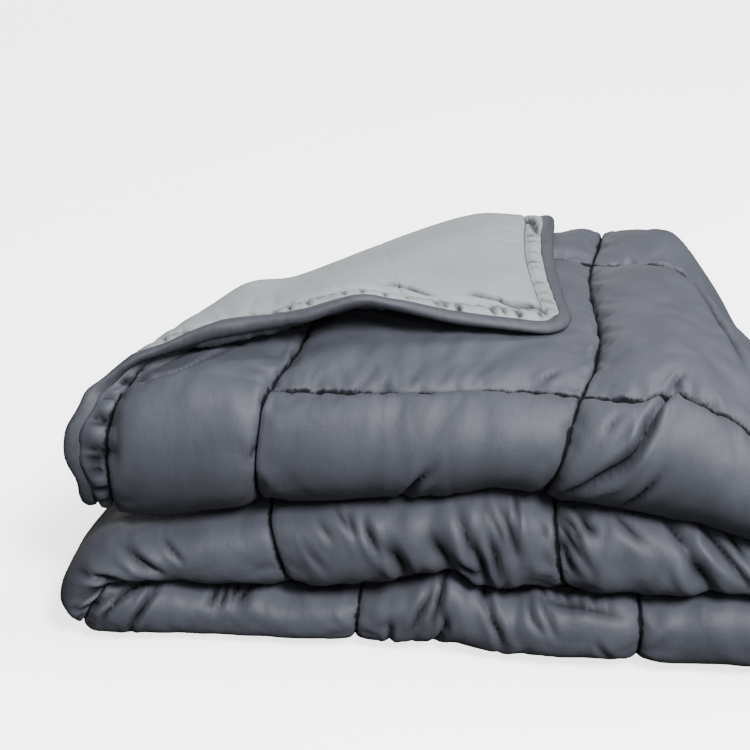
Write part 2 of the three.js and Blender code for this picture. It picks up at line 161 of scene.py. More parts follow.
# Turned corner: fold line halfway between the corner's two places
CORNER_START = np.array([LEFT_END_X, NOSE_Y + TOP_RUN])
CORNER_LANDING = np.array([421.0, 132.0])
ROLL_RADIUS = 15.0
FLAP_HEIGHT = 33.0
# Height of the flap above the layer under it: distance along the edge, rise
FLAP_FRONT = np.array([
    (0, 21), (25, 23), (70, 32), (115, 42), (160, 58), (188, 66),
    (215, 61), (245, 50), (270, 42), (300, 40), (340, 40), (380, 43), (430, 40),
], float)
FLAP_SIDE = np.array([(0, 19), (100, 23), (170, 32), (220, 30), (270, 28), (360, 26)], float)

Crease = namedtuple("Crease", "path depth width")
# Creases and pinches that the folding has left in the face, as paths over the flat cloth.
# The top strip comes first, then the middle strip, the left turn and the bottom strip.
FACE_CREASES = [
    Crease([(485, 405), (476, 427), (468, 440), (463, 451), (453, 460), (440, 468), (428, 479),
            (416, 496)], 12.0, 4.0),
    Crease([(464, 434), (471, 447)], 9.0, 5.0),
    Crease([(466, 496), (479, 475), (487, 466)], 4.5, 4.0),
    Crease([(277, 502), (280, 494), (286, 480), (290, 473), (301, 465)], 7.0, 4.0),
    Crease([(434, 445), (438, 441), (443, 435)], 2.5, 2.6),
    Crease([(369, 404), (377, 395), (382, 389)], 2.5, 2.6),
    Crease([(484, 403), (486, 398), (490, 390)], 4.0, 3.0),
    Crease([(402, 500), (408, 489), (412, 469)], 4.5, 3.5),
    Crease([(142, 458), (147, 450)], 4.0, 3.0),
    Crease([(510, 152), (520, 200), (530, 250), (543, 299), (552, 340)], 4.0, 4.5),
    Crease([(45, 420), (56, 412), (66, 412), (75, 401), (88, 379), (102, 356)], 3.0, 3.0),
    Crease([(49, 417), (29, 394)], 2.5, 3.0),
    Crease([(928, 509), (922, 492), (915, 484), (909, 478), (900, 468)], 5.5, 4.0),
    Crease([(927, 488), (922, 478), (918, 462)], 6.5, 5.0),
    Crease([(922, 499), (912, 492), (906, 483)], 4.5, 4.0),
    Crease([(908, 506), (900, 493), (890, 489)], 5.0, 6.0),
    Crease([(876, 508), (871, 500), (859, 492), (846, 487)], 3.8, 4.0),
    Crease([(830, 509), (826, 502), (820, 495), (813, 489)], 6.0, 4.0),
    Crease([(820, 492), (813, 484), (808, 473), (803, 462), (800, 446)], 9.5, 7.0),
    Crease([(799, 510), (794, 503), (783, 493), (773, 482), (766, 466)], 9.5, 6.0),
    Crease([(777, 510), (771, 502), (761, 492)], 5.0, 5.0),
    Crease([(1115, 499), (1110, 489), (1107, 482)], 3.4, 4.0),
    Crease([(1101, 490), (1094, 483), (1089, 473)], 6.5, 4.0),
    Crease([(1083, 477), (1074, 469), (1070, 460), (1071, 444)], 8.5, 6.0),
    Crease([(1040, 484), (1033, 472), (1028, 463), (1025, 446)], 9.5, 8.0),
    Crease([(1014, 497), (1008, 486), (1003, 476), (996, 467)], 4.5, 4.0),
    Crease([(987, 482), (982, 472), (980, 454)], 5.0, 4.0),
    Crease([(977, 500), (967, 485), (961, 466)], 4.5, 5.0),
    Crease([(1000, 472), (995, 464), (993, 447)], 7.5, 5.0),
    Crease([(1021, 463), (1007, 459), (993, 456)], 5.0, 4.0),
    Crease([(961, 508), (961, 489)], 3.4, 2.6),
    Crease([(989, 496), (977, 485), (973, 476)], 3.4, 4.0),
    Crease([(935, 494), (939, 482)], 3.4, 3.0),
    Crease([(1126, 502), (1119, 493), (1111, 487)], 3.4, 3.0),
    Crease([(1145, 496), (1137, 488), (1131, 483)], 2.8, 3.0),
    Crease([(1160, 482), (1152, 474), (1144, 466)], 2.2, 3.0),
    Crease([(1355, 496), (1341, 487), (1329, 479), (1316, 471), (1303, 465)], 8.5, 4.2),
    Crease([(1378, 472), (1373, 466), (1354, 455), (1334, 449), (1310, 446)], 6.5, 4.0),
    Crease([(1517, 429), (1508, 432), (1499, 435), (1491, 439), (1481, 444), (1474, 446)], 6.0, 3.0),
    Crease([(1486, 442), (1469, 447), (1459, 449), (1446, 453), (1436, 458), (1427, 467)], 8.0, 3.8),
    Crease([(1305, 495), (1298, 491), (1291, 486), (1285, 482), (1277, 477)], 4.0, 2.8),
    Crease([(1376, 468), (1352, 460), (1333, 453)], 6.5, 4.0),
    Crease([(1394, 493), (1384, 477), (1378, 464)], 3.6, 4.0),
    Crease([(1491, 438), (1483, 447), (1475, 456), (1469, 468)], 4.5, 2.6),
    Crease([(1517, 429), (1515, 438), (1508, 452), (1503, 459), (1499, 467), (1496, 486)], 9.0, 3.2),
    Crease([(1571, 446), (1576, 437), (1577, 427)], 4.8, 3.5),
    Crease([(1581, 449), (1585, 439), (1586, 427)], 4.4, 3.0),
    Crease([(1592, 441), (1598, 427)], 4.8, 4.0),
    Crease([(1599, 444), (1609, 428)], 5.2, 4.5),
    Crease([(1738, 454), (1740, 464), (1740, 494)], 4.5, 3.0),
    Crease([(1775, 442), (1765, 453), (1757, 469)], 4.4, 4.0),
    Crease([(1788, 422), (1783, 441), (1780, 451), (1775, 469)], 6.5, 4.0),
    Crease([(1784, 454), (1789, 464), (1786, 474), (1779, 496)], 4.6, 3.0),
    Crease([(1820, 418), (1821, 429), (1822, 440)], 6.5, 5.0),
    Crease([(1822, 436), (1830, 448), (1837, 455), (1842, 471)], 6.0, 4.0),
    Crease([(1861, 434), (1867, 446), (1880, 454)], 3.2, 3.0),
    Crease([(1873, 433), (1883, 446), (1891, 457)], 3.2, 3.0),
    Crease([(1928, 459), (1943, 475)], 2.8, 3.0),
    Crease([(1861, 434), (1888, 436), (1914, 438), (1936, 440), (1957, 442)], 3.6, 2.6),
    Crease([(1874, 425), (1882, 436)], 2.4, 2.4),
    Crease([(1888, 427), (1892, 437)], 1.6, 2.0),
    Crease([(1899, 422), (1901, 438)], 2.8, 2.6),
    Crease([(1916, 426), (1911, 439)], 2.2, 2.2),
    Crease([(1930, 422), (1924, 440)], 2.8, 2.6),
    Crease([(1945, 427), (1938, 440)], 2.2, 2.2),
]
# Creases of the pale reverse, on the turned corner
REVERSE_CREASES = [
    Crease([(38, 93), (38, 83), (37, 75), (36, 66), (32, 58), (31, 48)], 3.2, 3.0),
    Crease([(33, 62), (31, 51), (31, 40), (33, 32), (29, 26), (16, 25)], 3.2, 2.8),
    Crease([(41, 164), (42, 151), (35, 138), (31, 121)], 3.0, 2.8),
    Crease([(27, 75), (22, 73), (14, 72)], 2.8, 2.6),
    Crease([(27, 52), (22, 51), (17, 49), (13, 52)], 2.8, 2.6),
    Crease([(26, 114), (21, 114), (14, 115)], 2.0, 2.6),
    Crease([(25, 103), (20, 103), (14, 103)], 2.0, 2.6),
    Crease([(240, 27), (216, 22), (172, 15)], 5.0, 3.0),
]


def band_creases(start, end, step, depth, width, reach, seed, along_u):
    """Short creases across the border band, one beside the other along an edge."""
    draws = np.random.default_rng(seed)
    creases = []
    at = start
    while at < end:
        lean = draws.uniform(-4, 4)
        low, high = 12 + draws.uniform(0, 3), 27 + draws.uniform(-2, reach)
        path = [(at, low), (at + lean / 2, (low + high) / 2), (at + lean, high)]
        if not along_u:
            path = [(b, a) for a, b in path]
        creases.append(Crease(path, depth * draws.uniform(0.5, 1), width))
        at += step * draws.uniform(0.5, 1.9)
    return creases


FACE_CREASES += band_creases(396, 540, 9, 7.0, 2.8, 7, 5, False)
REVERSE_CREASES += band_creases(30, 420, 17, 2.8, 1.6, 5, 6, False)
REVERSE_CREASES += band_creases(30, 420, 15, 1.8, 1.5, 2, 7, True)

Ripples = namedtuple("Ripples", "u v reach_u reach_v lean wave depth")
# Patches of soft slanting folds on the front noses
RIPPLES = [
    Ripples(1010, 470, 75, 42, 0.45, 17, 2.6),
    Ripples(900, 474, 40, 42, 0.5, 13, 1.8),
    Ripples(795, 478, 55, 42, 0.6, 26, 3.0),
    Ripples(1795, 466, 80, 46, 0.25, 20, 2.4),
    Ripples(1330, 470, 40, 40, 1.1, 24, 1.0),
    Ripples(1600, 438, 60, 20, -0.6, 13, 1.2),
    Ripples(1925, 428, 50, 12, 0.7, 9, 1.8),
    Ripples(300, 500, 70, 26, -0.5, 20, 1.5),
]


def ease(value, start, end):
    t = np.clip((value - start) / (end - start), 0, 1)
    return t * t * (3 - 2 * t)


def bell(distance, width):
    return np.exp(-(distance / width) ** 2)


def read_table(value, keys, column):
    """Smooth curve through the rows of a table."""
    slopes = np.gradient(column, keys)
    at = np.clip(value, keys[0], keys[-1])
    k = np.clip(np.searchsorted(keys, at) - 1, 0, len(keys) - 2)
    step = keys[k + 1] - keys[k]
    t = (at - keys[k]) / step
    rest = 1 - t
    return (
        (1 + 2 * t) * rest**2 * column[k]
        + t * rest**2 * step * slopes[k]
        + t * t * (3 - 2 * t) * column[k + 1]
        - t * t * rest * step * slopes[k + 1]
    )


def linear(hex_colour):
    """An sRGB hex colour as linear red, green and blue."""
    channels = [int(hex_colour[i:i + 2], 16) / 255 for i in (0, 2, 4)]
    return [c / 12.92 if c <= 0.04045 else ((c + 0.055) / 1.055) ** 2.4 for c in channels]


# Fold line of the turned corner: distance s towards the corner, distance t along the line
TURN_MIDDLE = (CORNER_START + CORNER_LANDING) / 2
TURN_NORMAL = (CORNER_START - CORNER_LANDING) / np.linalg.norm(CORNER_START - CORNER_LANDING)
# Way out over the flap's front edge: the cloth's own way out, mirrored in the fold line
EDGE_OUTWARD = 2 * TURN_NORMAL[0] * TURN_NORMAL - np.array([1, 0])
# Width of the strip beside that edge that curls up, and the angle it turns through
CURL_REACH = 34.0
CURL_ANGLE = 1.15


def across_turn(x, y):
    return TURN_NORMAL[0] * (x - TURN_MIDDLE[0]) + TURN_NORMAL[1] * (y - TURN_MIDDLE[1])


def along_turn(x, y):
    return TURN_NORMAL[1] * (x - TURN_MIDDLE[0]) - TURN_NORMAL[0] * (y - TURN_MIDDLE[1])


def turn_share(u, v):
    """How far a place on the cloth belongs to the turned corner's roll and flap."""
    return (1 - ease(v, NOSE_START + 8, NOSE_START + 44)) * (u < RIGHT_TURN_START)


def levels_at(x, y):
    """Heights of the low crease, the high crease and the top where the stack has settled."""
    low, mid, top = (read_table(x, LEVELS[:, 0], LEVELS[:, k]) for k in (1, 2, 3))
    s = across_turn(x, y)
    slump = (1 - CORNER_SLUMP * ease(s, 20, 215)) * (
        1 - RIGHT_SLUMP * ease(x, 490, 640) * ease(y, 140, 420)
    )
    top = (
        top
        - 8 * (1 - ease(y, 40, 130))
        - 38 * ease(y, 375, 480)
        - 12 * ease(s, -110, -5) * ease(y, 50, 190)
        - 8 * ease(y, 240, 340) * ease(x, 380, 460)
        - 9 * bell(s, 80) * bell(along_turn(x, y) - 160, 42)
    )
    belly = BELLY * bell(y - 240, 120)
    at_front = 1 - ease(y, 70, 210)
    low = low + at_front * np.interp(x, FRONT_RISE[:, 0], FRONT_RISE[:, 1])
    mid = mid + at_front * np.interp(x, FRONT_RISE[:, 0], FRONT_RISE[:, 2])
    return slump * (low + belly / 2), slump * (mid + belly), slump * top


def settled_height(levels, z):
    low, mid, top = levels
    return np.where(
        z < LOW_CREASE,
        low * z / LOW_CREASE,
        np.where(
            z < HIGH_CREASE,
            low + (mid - low) * (z - LOW_CREASE) / (HIGH_CREASE - LOW_CREASE),
            mid + (top - mid) * (z - HIGH_CREASE) / (STACK_TOP - HIGH_CREASE),
        ),
    )


def section(v, w):
    """Fold across the width."""
    front = (v - NOSE_START) / FRONT_RADIUS
    rear = (v - REAR_START) / REAR_RADIUS
    stretches = [v < NOSE_START, v < NOSE_END, v < REAR_START, v < REAR_END]
    y = np.select(stretches, [
        NOSE_Y + TOP_RUN - v,
        NOSE_Y - (FRONT_RADIUS + w) * np.sin(front),
        NOSE_Y + v - NOSE_END,
        NOSE_Y + BOTTOM_RUN + (REAR_RADIUS + w) * np.sin(rear),
    ], NOSE_Y + BOTTOM_RUN - (v - REAR_END))
    z = np.select(stretches, [
        2.5 * PITCH + w,
        1.5 * PITCH + (FRONT_RADIUS + w) * np.cos(front),
        0.5 * PITCH - w,
        PITCH - (REAR_RADIUS + w) * np.cos(rear),
    ], 1.5 * PITCH + w)
    return y, z


def stacked(u, z):
    """Fold along the length."""
    right = math.pi * (u - RIGHT_TURN_START) / (RIGHT_TURN_END - RIGHT_TURN_START)
    left = math.pi * (u - LEFT_TURN_START) / (LEFT_TURN_END - LEFT_TURN_START)
    outer = GAP + z
    inner = GAP + STRIP - z
    stretches = [
        u < RIGHT_TURN_START, u < RIGHT_TURN_END, u < LEFT_TURN_START, u < LEFT_TURN_END,
    ]
    x = np.select(stretches, [
        LEFT_END_X + u,
        RIGHT_TURN_X + RIGHT_TURN_FLAT * outer * np.sin(right),
        RIGHT_TURN_X - RUN_TAKE * (u - RIGHT_TURN_END),
        LEFT_TURN_X - LEFT_TURN_FLAT * inner * np.sin(left),
    ], LEFT_TURN_X + RUN_TAKE * (u - LEFT_TURN_END))
    high = np.select(stretches, [
        2 * STRIP + 4 * GAP + z,
        HIGH_CREASE + outer * np.cos(right),
        HIGH_CREASE - GAP - z,
        LOW_CREASE + inner * np.cos(left),
    ], z)
    return x, high


def turned_corner(u, v, w, x, y):
    """The turned corner rolls over the fold line and lies back, arched along its front edge."""
    s = across_turn(x, y)
    t = along_turn(x, y)
    roll_start = -math.pi * ROLL_RADIUS / 2
    half_turn = math.pi * ROLL_RADIUS
    share = turn_share(u, v)
    run = np.maximum(s - roll_start, 0) * share
    angle = np.clip(run / ROLL_RADIUS, 0, math.pi)
    beyond = np.maximum(run - half_turn, 0)

    def carried(radius):
        across = roll_start + radius * np.sin(angle) - beyond + (s - roll_start) * (1 - share)
        return (
            TURN_MIDDLE[0] + TURN_NORMAL[0] * across + TURN_NORMAL[1] * t,
            TURN_MIDDLE[1] + TURN_NORMAL[1] * across - TURN_NORMAL[0] * t,
        )

    _, mid, top = levels_at(*carried(ROLL_RADIUS))
    half = w * (top - mid) / (STACK_TOP - HIGH_CREASE)
    new_x, new_y = carried(ROLL_RADIUS - half)
    near_front = np.exp(-np.maximum(u, 0) / 65)
    near_side = np.exp(-np.maximum(v, 0) / 50)
    front = read_table(v, FLAP_FRONT[:, 0], FLAP_FRONT[:, 1]) - FLAP_HEIGHT
    side = read_table(u, FLAP_SIDE[:, 0], FLAP_SIDE[:, 1]) - FLAP_HEIGHT
    height = (
        FLAP_HEIGHT
        + front * near_front * (1 - near_side / 2)
        + side * near_side * (1 - near_front / 2)
    )
    hump = 14 * bell(new_x - 125, 38) * bell(new_y - 165, 38)
    lift = (
        ROLL_RADIUS - (ROLL_RADIUS - half) * np.cos(angle) - half
        + (height - 2 * ROLL_RADIUS) * ease(run, half_turn / 2, half_turn + 70)
        + hump * ease(run, 0, half_turn)
    )
    # Towards the left the front edge curls up and shows the underside of the flap
    near_edge = np.clip(1 - u / CURL_REACH, 0, 1)
    curled = ease(v, 225, 285) * ease(run, half_turn - 5, half_turn + 45)
    bend = CURL_ANGLE * near_edge
    outward = curled * (
        CURL_REACH / CURL_ANGLE * np.sin(bend) - CURL_REACH * near_edge + half * np.sin(bend)
    )
    lift = lift + curled * (CURL_REACH / CURL_ANGLE + half) * (1 - np.cos(bend))
    new_x = new_x + EDGE_OUTWARD[0] * outward
    new_y = new_y + EDGE_OUTWARD[1] * outward
    turned = run > 0
    return np.where(turned, new_x, x), np.where(turned, new_y, y), np.where(turned, lift, 0)


def fold(u, v, offset):
    """From the flat duvet to its place in the stack, in metres."""
    squeeze = 1 - TURN_SQUEEZE * bell(
        across_turn(LEFT_END_X + u, CORNER_START[1] - v), TURN_SQUEEZE_REACH
    ) * turn_share(u, v)
    w = offset * squeeze
    y, z = section(v, w)
    x, high = stacked(u, z)
    corner_x, corner_y, lift = turned_corner(u, v, w, x, y)
    x = corner_x + np.interp(high, [0, LOW_CREASE, HIGH_CREASE, STACK_TOP], STRIP_SLIDES)
    y = corner_y
    z = settled_height(levels_at(corner_x, corner_y), high) + lift
    under = (u >= RIGHT_TURN_START) | (v > NOSE_END)
    x = x + under * LEFT_LEAN * np.maximum(y - 90, 0) * (1 - ease(x, 0, 330))
    lower = u >= RIGHT_TURN_START
    set_back = LOWER_SETBACK + MIDDLE_SETBACK * ease(high, 55, 165)
    x = x + lower * set_back * (1 - ease(x, -10, 150))
    slip = UNDER_SLIP * ease(v, NOSE_END - 60, NOSE_END + 30) + MIDDLE_SLIP * (v > REAR_END)
    x = x - (u < RIGHT_TURN_START) * slip * bell(y - 60, 60) * (1 - ease(x, 0, 160))
    near_nose = v - PUSHED_OUT_AT
    pushed_out = (6 + 12 * (1 - ease(u, 0, 30))) * (1 - ease(u, 30, 130)) * bell(near_nose, 30)
    pushed_out = pushed_out + 3 * (1 - ease(u, 8, 40)) * bell(near_nose, 70) * ripple(v / 14, 41)
    x = x - (u < RIGHT_TURN_START) * pushed_out
    x = x + REAR_PUSH * bell(np.hypot(x - 370, y - 420), 120)
    near_front = 1 - ease(y, 100, 300)
    y = y - LEFT_BULGE * (1 - ease(x, 20, 150)) * (1 - ease(z, 60, 150)) * near_front
    y = y - RIGHT_BULGE * ease(x, 300, 420) * (1 - ease(z, 50, 120)) * near_front
    z = np.maximum(z - FLOOR_SINK, 0)
    return np.stack([x - STACK_CENTRE[0], y - STACK_CENTRE[1], z], -1) / 1000


def open_share(u, v):
    """How far the face lies open at a place, 0 where another layer or the floor presses on it."""
    resting = 18 * ease(u, RIGHT_TURN_START, RIGHT_TURN_END)
    on_nose = ease(v, NOSE_START - 30 + resting, NOSE_START + 10 + resting)
    on_nose = on_nose * (1 - ease(v, NOSE_END - 10, NOSE_END + 30))
    on_top = (1 - ease(v, NOSE_START, NOSE_END)) * (1 - ease(u, RIGHT_TURN_END - 60, RIGHT_TURN_END))
    on_left = ease(u, LEFT_TURN_START - 20, LEFT_TURN_START + 30) * (
        1 - ease(u, LEFT_TURN_END - 30, LEFT_TURN_END + 20)
    )
    bared = across_turn(LEFT_END_X + u, NOSE_Y + BOTTOM_RUN - (v - REAR_END))
    under_flap = ease(bared, -30, 10) * ease(v, REAR_END, REAR_END + 30) * (1 - ease(u, 440, 500))
    return np.maximum.reduce([on_nose, on_top, on_left, under_flap])


def seam_gap(at, seams, size):
    """Distance to the nearest seam line across one direction."""
    lines = np.array([BORDER_SEAM, *seams, size - BORDER_SEAM])
    return np.abs(at[:, None] - lines[None, :]).min(1)


def seam_gaps(u, v):
    """Distances to the nearest seam line along and across; the end row of boxes runs through."""
    gap_u = seam_gap(u, SEAMS_ALONG, LENGTH)
    gap_v = seam_gap(v, SEAMS_ACROSS, WIDTH)
    long_box = seam_gap(v, np.delete(SEAMS_ACROSS, 1), WIDTH)
    return gap_u, np.where(u < END_MARGIN, long_box, gap_v)


def crown(gap):
    """0 on a seam, 1 in the middle of a full box, steep beside the seam."""
    reach = np.clip(gap / (BOX / 2), 0, 1)
    return (1 - (1 - reach) ** 2) ** 0.32


def ripple(t, seed):
    """Smooth random wave with one knot per unit of t, between -1 and 1."""
    knots = np.random.default_rng(seed).uniform(-1, 1, 1024)
    k = np.floor(t).astype(int)
    share = t - k
    share = share * share * (3 - 2 * share)
    return knots[k % 1024] * (1 - share) + knots[(k + 1) % 1024] * share


def gathers(along, gap, seed):
    """Puckers that the stitching draws up on one side of a seam, deepest a little way out."""
    leaning = along + 0.4 * gap * ripple(along / 45, seed + 1)
    short = bell(ripple(leaning / 6.5, seed + 2), 0.34)
    short = short * ease(gap, 0, 4) * (1 - ease(gap, 5, 15 + 9 * ripple(along / 30, seed + 3)))
    long = bell(ripple(leaning / 17, seed + 4), 0.26)
    long = long * ease(gap, 1, 10) * (1 - ease(gap, 12, 42 + 26 * ripple(along / 50, seed + 5)))
    return -(0.9 * short + 1.2 * long)


def seam_gathers(u, v):
    """Puckers beside every seam line of the quilting and beside the border seam."""
    total = np.zeros_like(u)
    rows = [(u, v, SEAMS_ALONG, 10), (v, u, SEAMS_ACROSS, 400)]
    for across, along, seams, seed in rows:
        for k, seam in enumerate(seams):
            near = (np.abs(across - seam) < 75) & ((seam != SEAMS_ACROSS[1]) | (u > END_MARGIN))
            side = (across[near] > seam).astype(int)
            for which in (0, 1):
                pick = np.flatnonzero(near)[side == which]
                total[pick] += gathers(
                    along[pick], np.abs(across[pick] - seam), seed + 40 * k + 20 * which
                )
    inset, along_edge = edge_distance(u, v)
    near = inset < BORDER_SEAM + 75
    gap = np.abs(inset[near] - BORDER_SEAM)
    inside = inset[near] > BORDER_SEAM
    total[near] += np.where(
        inside,
        gathers(along_edge[near], gap, 900),
        1.1 * gathers(along_edge[near], gap, 940),
    )
    return total


def edge_distance(u, v):
    """Distance in from the duvet's edge, and distance along it."""
    sides = np.stack([u, LENGTH - u, v, WIDTH - v])
    which = sides.argmin(0)
    along = np.choose(which, [v, v + 2000, u + 4000, u + 7000])
    return sides.min(0), along


def path_distance(u, v, path):
    """Distance to a path, and the place along it from 0 at its start to 1 at its end."""
    points = np.array(path, float)
    best = np.full(u.shape, 1e9)
    place = np.zeros(u.shape)
    for k in range(len(points) - 1):
        step = points[k + 1] - points[k]
        t = ((u - points[k][0]) * step[0] + (v - points[k][1]) * step[1]) / (step @ step)
        t = np.clip(t, 0, 1)
        gap = np.hypot(u - points[k][0] - t * step[0], v - points[k][1] - t * step[1])
        closer = gap < best
        best = np.where(closer, gap, best)
        place = np.where(closer, (k + t) / (len(points) - 1), place)
    return best, place


def near_path(u, v, path, reach):
    """True inside the path's box, widened by reach."""
    points = np.array(path, float)
    low, high = points.min(0) - reach, points.max(0) + reach
    return (u > low[0]) & (u < high[0]) & (v > low[1]) & (v < high[1])


def crease_taper(place):
    """1 in the middle of a crease, small at its ends."""
    return np.clip(np.sin(math.pi * np.clip(place, 0.04, 0.96)), 0, 1)


def drawn_to_creases(u, v, creases, reach):
    """Moves the corners beside a crease onto its line, so that it stays sharp."""
    u, v = u.copy(), v.copy()
    for crease in creases:
        points = np.array(crease.path, float)
        near = np.flatnonzero(near_path(u, v, crease.path, reach))
        away, place = path_distance(u[near], v[near], crease.path)
        beside = away < reach
        knot = place[beside] * (len(points) - 1)
        u[near[beside]] = np.interp(knot, np.arange(len(points)), points[:, 0])
        v[near[beside]] = np.interp(knot, np.arange(len(points)), points[:, 1])
    return u, v


def crease_relief(u, v, creases):
    total = np.zeros_like(u)
    for crease in creases:
        near = near_path(u, v, crease.path, 5 * crease.width)
        gap, place = path_distance(u[near], v[near], crease.path)
        taper = crease_taper(place) ** 0.6
        valley = np.exp(-gap / (0.9 * crease.width))
        shoulder = bell(gap - 2.0 * crease.width, crease.width)
        total[near] += crease.depth * taper * (0.4 * shoulder - 1.15 * valley)
    return total


def slanted_folds(u, v):
    total = np.zeros_like(u)
    for k, patch in enumerate(RIPPLES):
        mask = bell(u - patch.u, patch.reach_u) * bell(v - patch.v, patch.reach_v)
        phase = ((u - patch.u) + patch.lean * (v - patch.v)) / patch.wave
        wave = ripple(phase + 0.25 * ripple((v - patch.v) / 30, 700 + k), 720 + k)
        total -= patch.depth * mask * (bell(wave, 0.35) - 0.35)
    return total


def filling_unevenness(u, v, seed):
    """Broad lumps in the filling."""
    draws = np.random.default_rng(seed)
    total = np.zeros_like(u)
    for _ in range(14):
        angle = draws.uniform(0, math.pi)
        wave = draws.uniform(70, 190)
        phase = draws.uniform(0, 2 * math.pi)
        total += np.sin((u * math.cos(angle) + v * math.sin(angle)) * 2 * math.pi / wave + phase)
    return total / 14


def border_half(inset, puff):
    """Thickness of the flat border band on one side, between the binding and the border seam."""
    across = 2 * np.clip(inset / BORDER_SEAM, 0, 1) - 1
    roll = BORDER_PUFF * np.sqrt(np.clip(1 - across**2, 0, 1))
    past_tape = ease(inset, BINDING - 1, BINDING + 5)
    return RIM_HALF + RIM_GAIN * inset / BORDER_SEAM + puff * roll * past_tape


def face_half(u, v, sizes):
    """Thickness from the middle of the filling to the charcoal face."""
    inset, _ = edge_distance(u, v)
    gap_u, gap_v = seam_gaps(u, v)
    drawn = (crown(gap_u) * crown(gap_v)) ** 0.8
    clear = ease(inset, BORDER_SEAM, BORDER_SEAM + 40)
    covered = clear * (1 - open_share(u, v))
    full = sizes.face_crown * (drawn + (1 - drawn) * FACE_PRESSED * covered)
    half = (SEAM_HALF + full) * (1 - (1 - PRESSED_SHARE) * covered)
    half = half + (1 - covered) * 1.5 * filling_unevenness(u, v, 5) * drawn
    half = np.where(inset < BORDER_SEAM, border_half(inset, sizes.face_crown), half)
    groove = sizes.groove * (1 - covered) * np.exp(-np.minimum(gap_u, gap_v) / 1.9)
    return half - np.where(inset < BORDER_SEAM - 2, 0.5, 1) * groove


def nose_shoulders(u, v):
    """The noses press on each other: the lower one bulges up under the one that rests on it."""
    middle = ease(u, RIGHT_TURN_START, RIGHT_TURN_END) * (
        1 - ease(u, LEFT_TURN_START - 30, LEFT_TURN_START + 30)
    )
    lowest = ease(u, LEFT_TURN_START + 60, LEFT_TURN_END)
    top = 1 - ease(u, RIGHT_TURN_START, RIGHT_TURN_END)
    return (
        top * (2.0 * bell(v - NOSE_END + 46, 16) - 3.0 * bell(v - NOSE_END + 20, 15))
        + middle * (8.0 * bell(v - NOSE_END + 20, 15) - 4.5 * bell(v - NOSE_START - 14, 17))
        + lowest * (12.0 * bell(v - NOSE_START - 18, 15) - 4.5 * bell(v - NOSE_END + 17, 16))
    )


def face_relief(u, v, sizes):
    """Puckers, creases and folds of the open face."""
    relief = np.maximum(crease_relief(u, v, FACE_CREASES), DEEPEST_CREASE) + slanted_folds(u, v)
    relief = relief + nose_shoulders(u, v)
    return relief + sizes.gather * open_share(u, v) * (v < REAR_END) * 0.6 * seam_gathers(u, v)


def reverse_half(u, v, sizes):
    """Thickness from the middle of the filling to the pale reverse."""
    inset, _ = edge_distance(u, v)
    drawn = (
        crown(seam_gap(u, SEAMS_ALONG, LENGTH)) * crown(seam_gap(v, SEAMS_ACROSS, WIDTH))
    ) ** 0.8
    clear = ease(inset, BORDER_SEAM, BORDER_SEAM + 40)
    half = SEAM_HALF + sizes.reverse_crown * (drawn + (1 - drawn) * REVERSE_PRESSED * clear)
    half = np.where(inset < BORDER_SEAM, border_half(inset, sizes.reverse_crown), half)
    inset_gathers = np.where(inset < BORDER_SEAM + 30, 1.0, 0.0) * seam_gathers(u, v)
    half = half + 0.8 * sizes.gather * inset_gathers + 0.8 * filling_unevenness(u, v, 6) * clear
    half = half - 0.7 * sizes.groove * np.exp(-np.abs(inset - BORDER_SEAM) / 1.9)
    return np.maximum(half + crease_relief(u, v, REVERSE_CREASES), THINNEST_HALF)


def seam_shade_distance(u, v, on_face):
    """Distance to the nearest stitched line in millimetres, which the materials turn into painted
    seam shade; shrunk on the top and the right turn to draw that shade wider.
    """
    inset, _ = edge_distance(u, v)
    gap_u, gap_v = seam_gaps(u, v)
    # On the top and the right turn the distance to the seams across is shrunk, so their painted shade
    # line is drawn up to about three times wider towards the right, where the top slumps
    shade_line_scale = 1 - (0.25 + 0.4 * ease(u, 380, 560)) * (v < NOSE_END) * (u < RIGHT_TURN_END)
    gap = np.minimum(gap_u, shade_line_scale * gap_v)
    gap = np.where(inset < BORDER_SEAM + 8, np.maximum(gap, 1.7 * np.abs(inset - BORDER_SEAM)), gap)
    return np.where(on_face & (inset > BORDER_SEAM - 2), gap, np.abs(inset - BORDER_SEAM))


def crease_shade_share(u, v, on_face):
    """Share of painted shade in the creases: 1 at the bottom of a crease, 0 where the cloth lies
    free.
    """
    crease_shade = np.zeros_like(u)
    # Creases, the side they lie on, how far their painted shade spreads in widths, and how strongly
    # it darkens. Those of the turned corner are shallow, so their painted shade is stronger for their
    # depth.
    sides = [(FACE_CREASES, on_face, 0.45, 1), (REVERSE_CREASES, ~on_face, 0.6, 3.4)]
    for creases, side, spread, strength in sides:
        for crease in creases:
            near = side & near_path(u, v, crease.path, 20)
            away, place = path_distance(u[near], v[near], crease.path)
            depth = strength * min(crease.depth / 5, 1)
            width = spread * crease.width + 0.8
            crease_darkening = np.minimum(depth * crease_taper(place) * bell(away, width), 1)
            crease_shade[near] = np.maximum(crease_shade[near], crease_darkening)
    return crease_shade


# How far the seams have drifted off their straight lines: seam, then place along it and drift
SEAM_DRIFTS_ALONG = [
    (148, [(300, 24), (357, 20), (381, 11), (411, 3), (431, 0), (461, 1), (489, 5), (520, 5)]),
    (408, [(140, 0), (270, 16), (321, 20), (369, 16), (408, 6), (444, -2), (472, -7), (500, -12)]),
    (1188, [(430, -15), (466, -15), (486, -12), (503, -8)]),
    (1968, [(431, -11), (449, -8), (479, -7)]),
]
SEAM_DRIFT_ACROSS = [
    (150, 6), (261, 9), (361, -5), (414, -4), (459, 5), (487, -9), (510, 0), (549, 12), (640, 4),
]


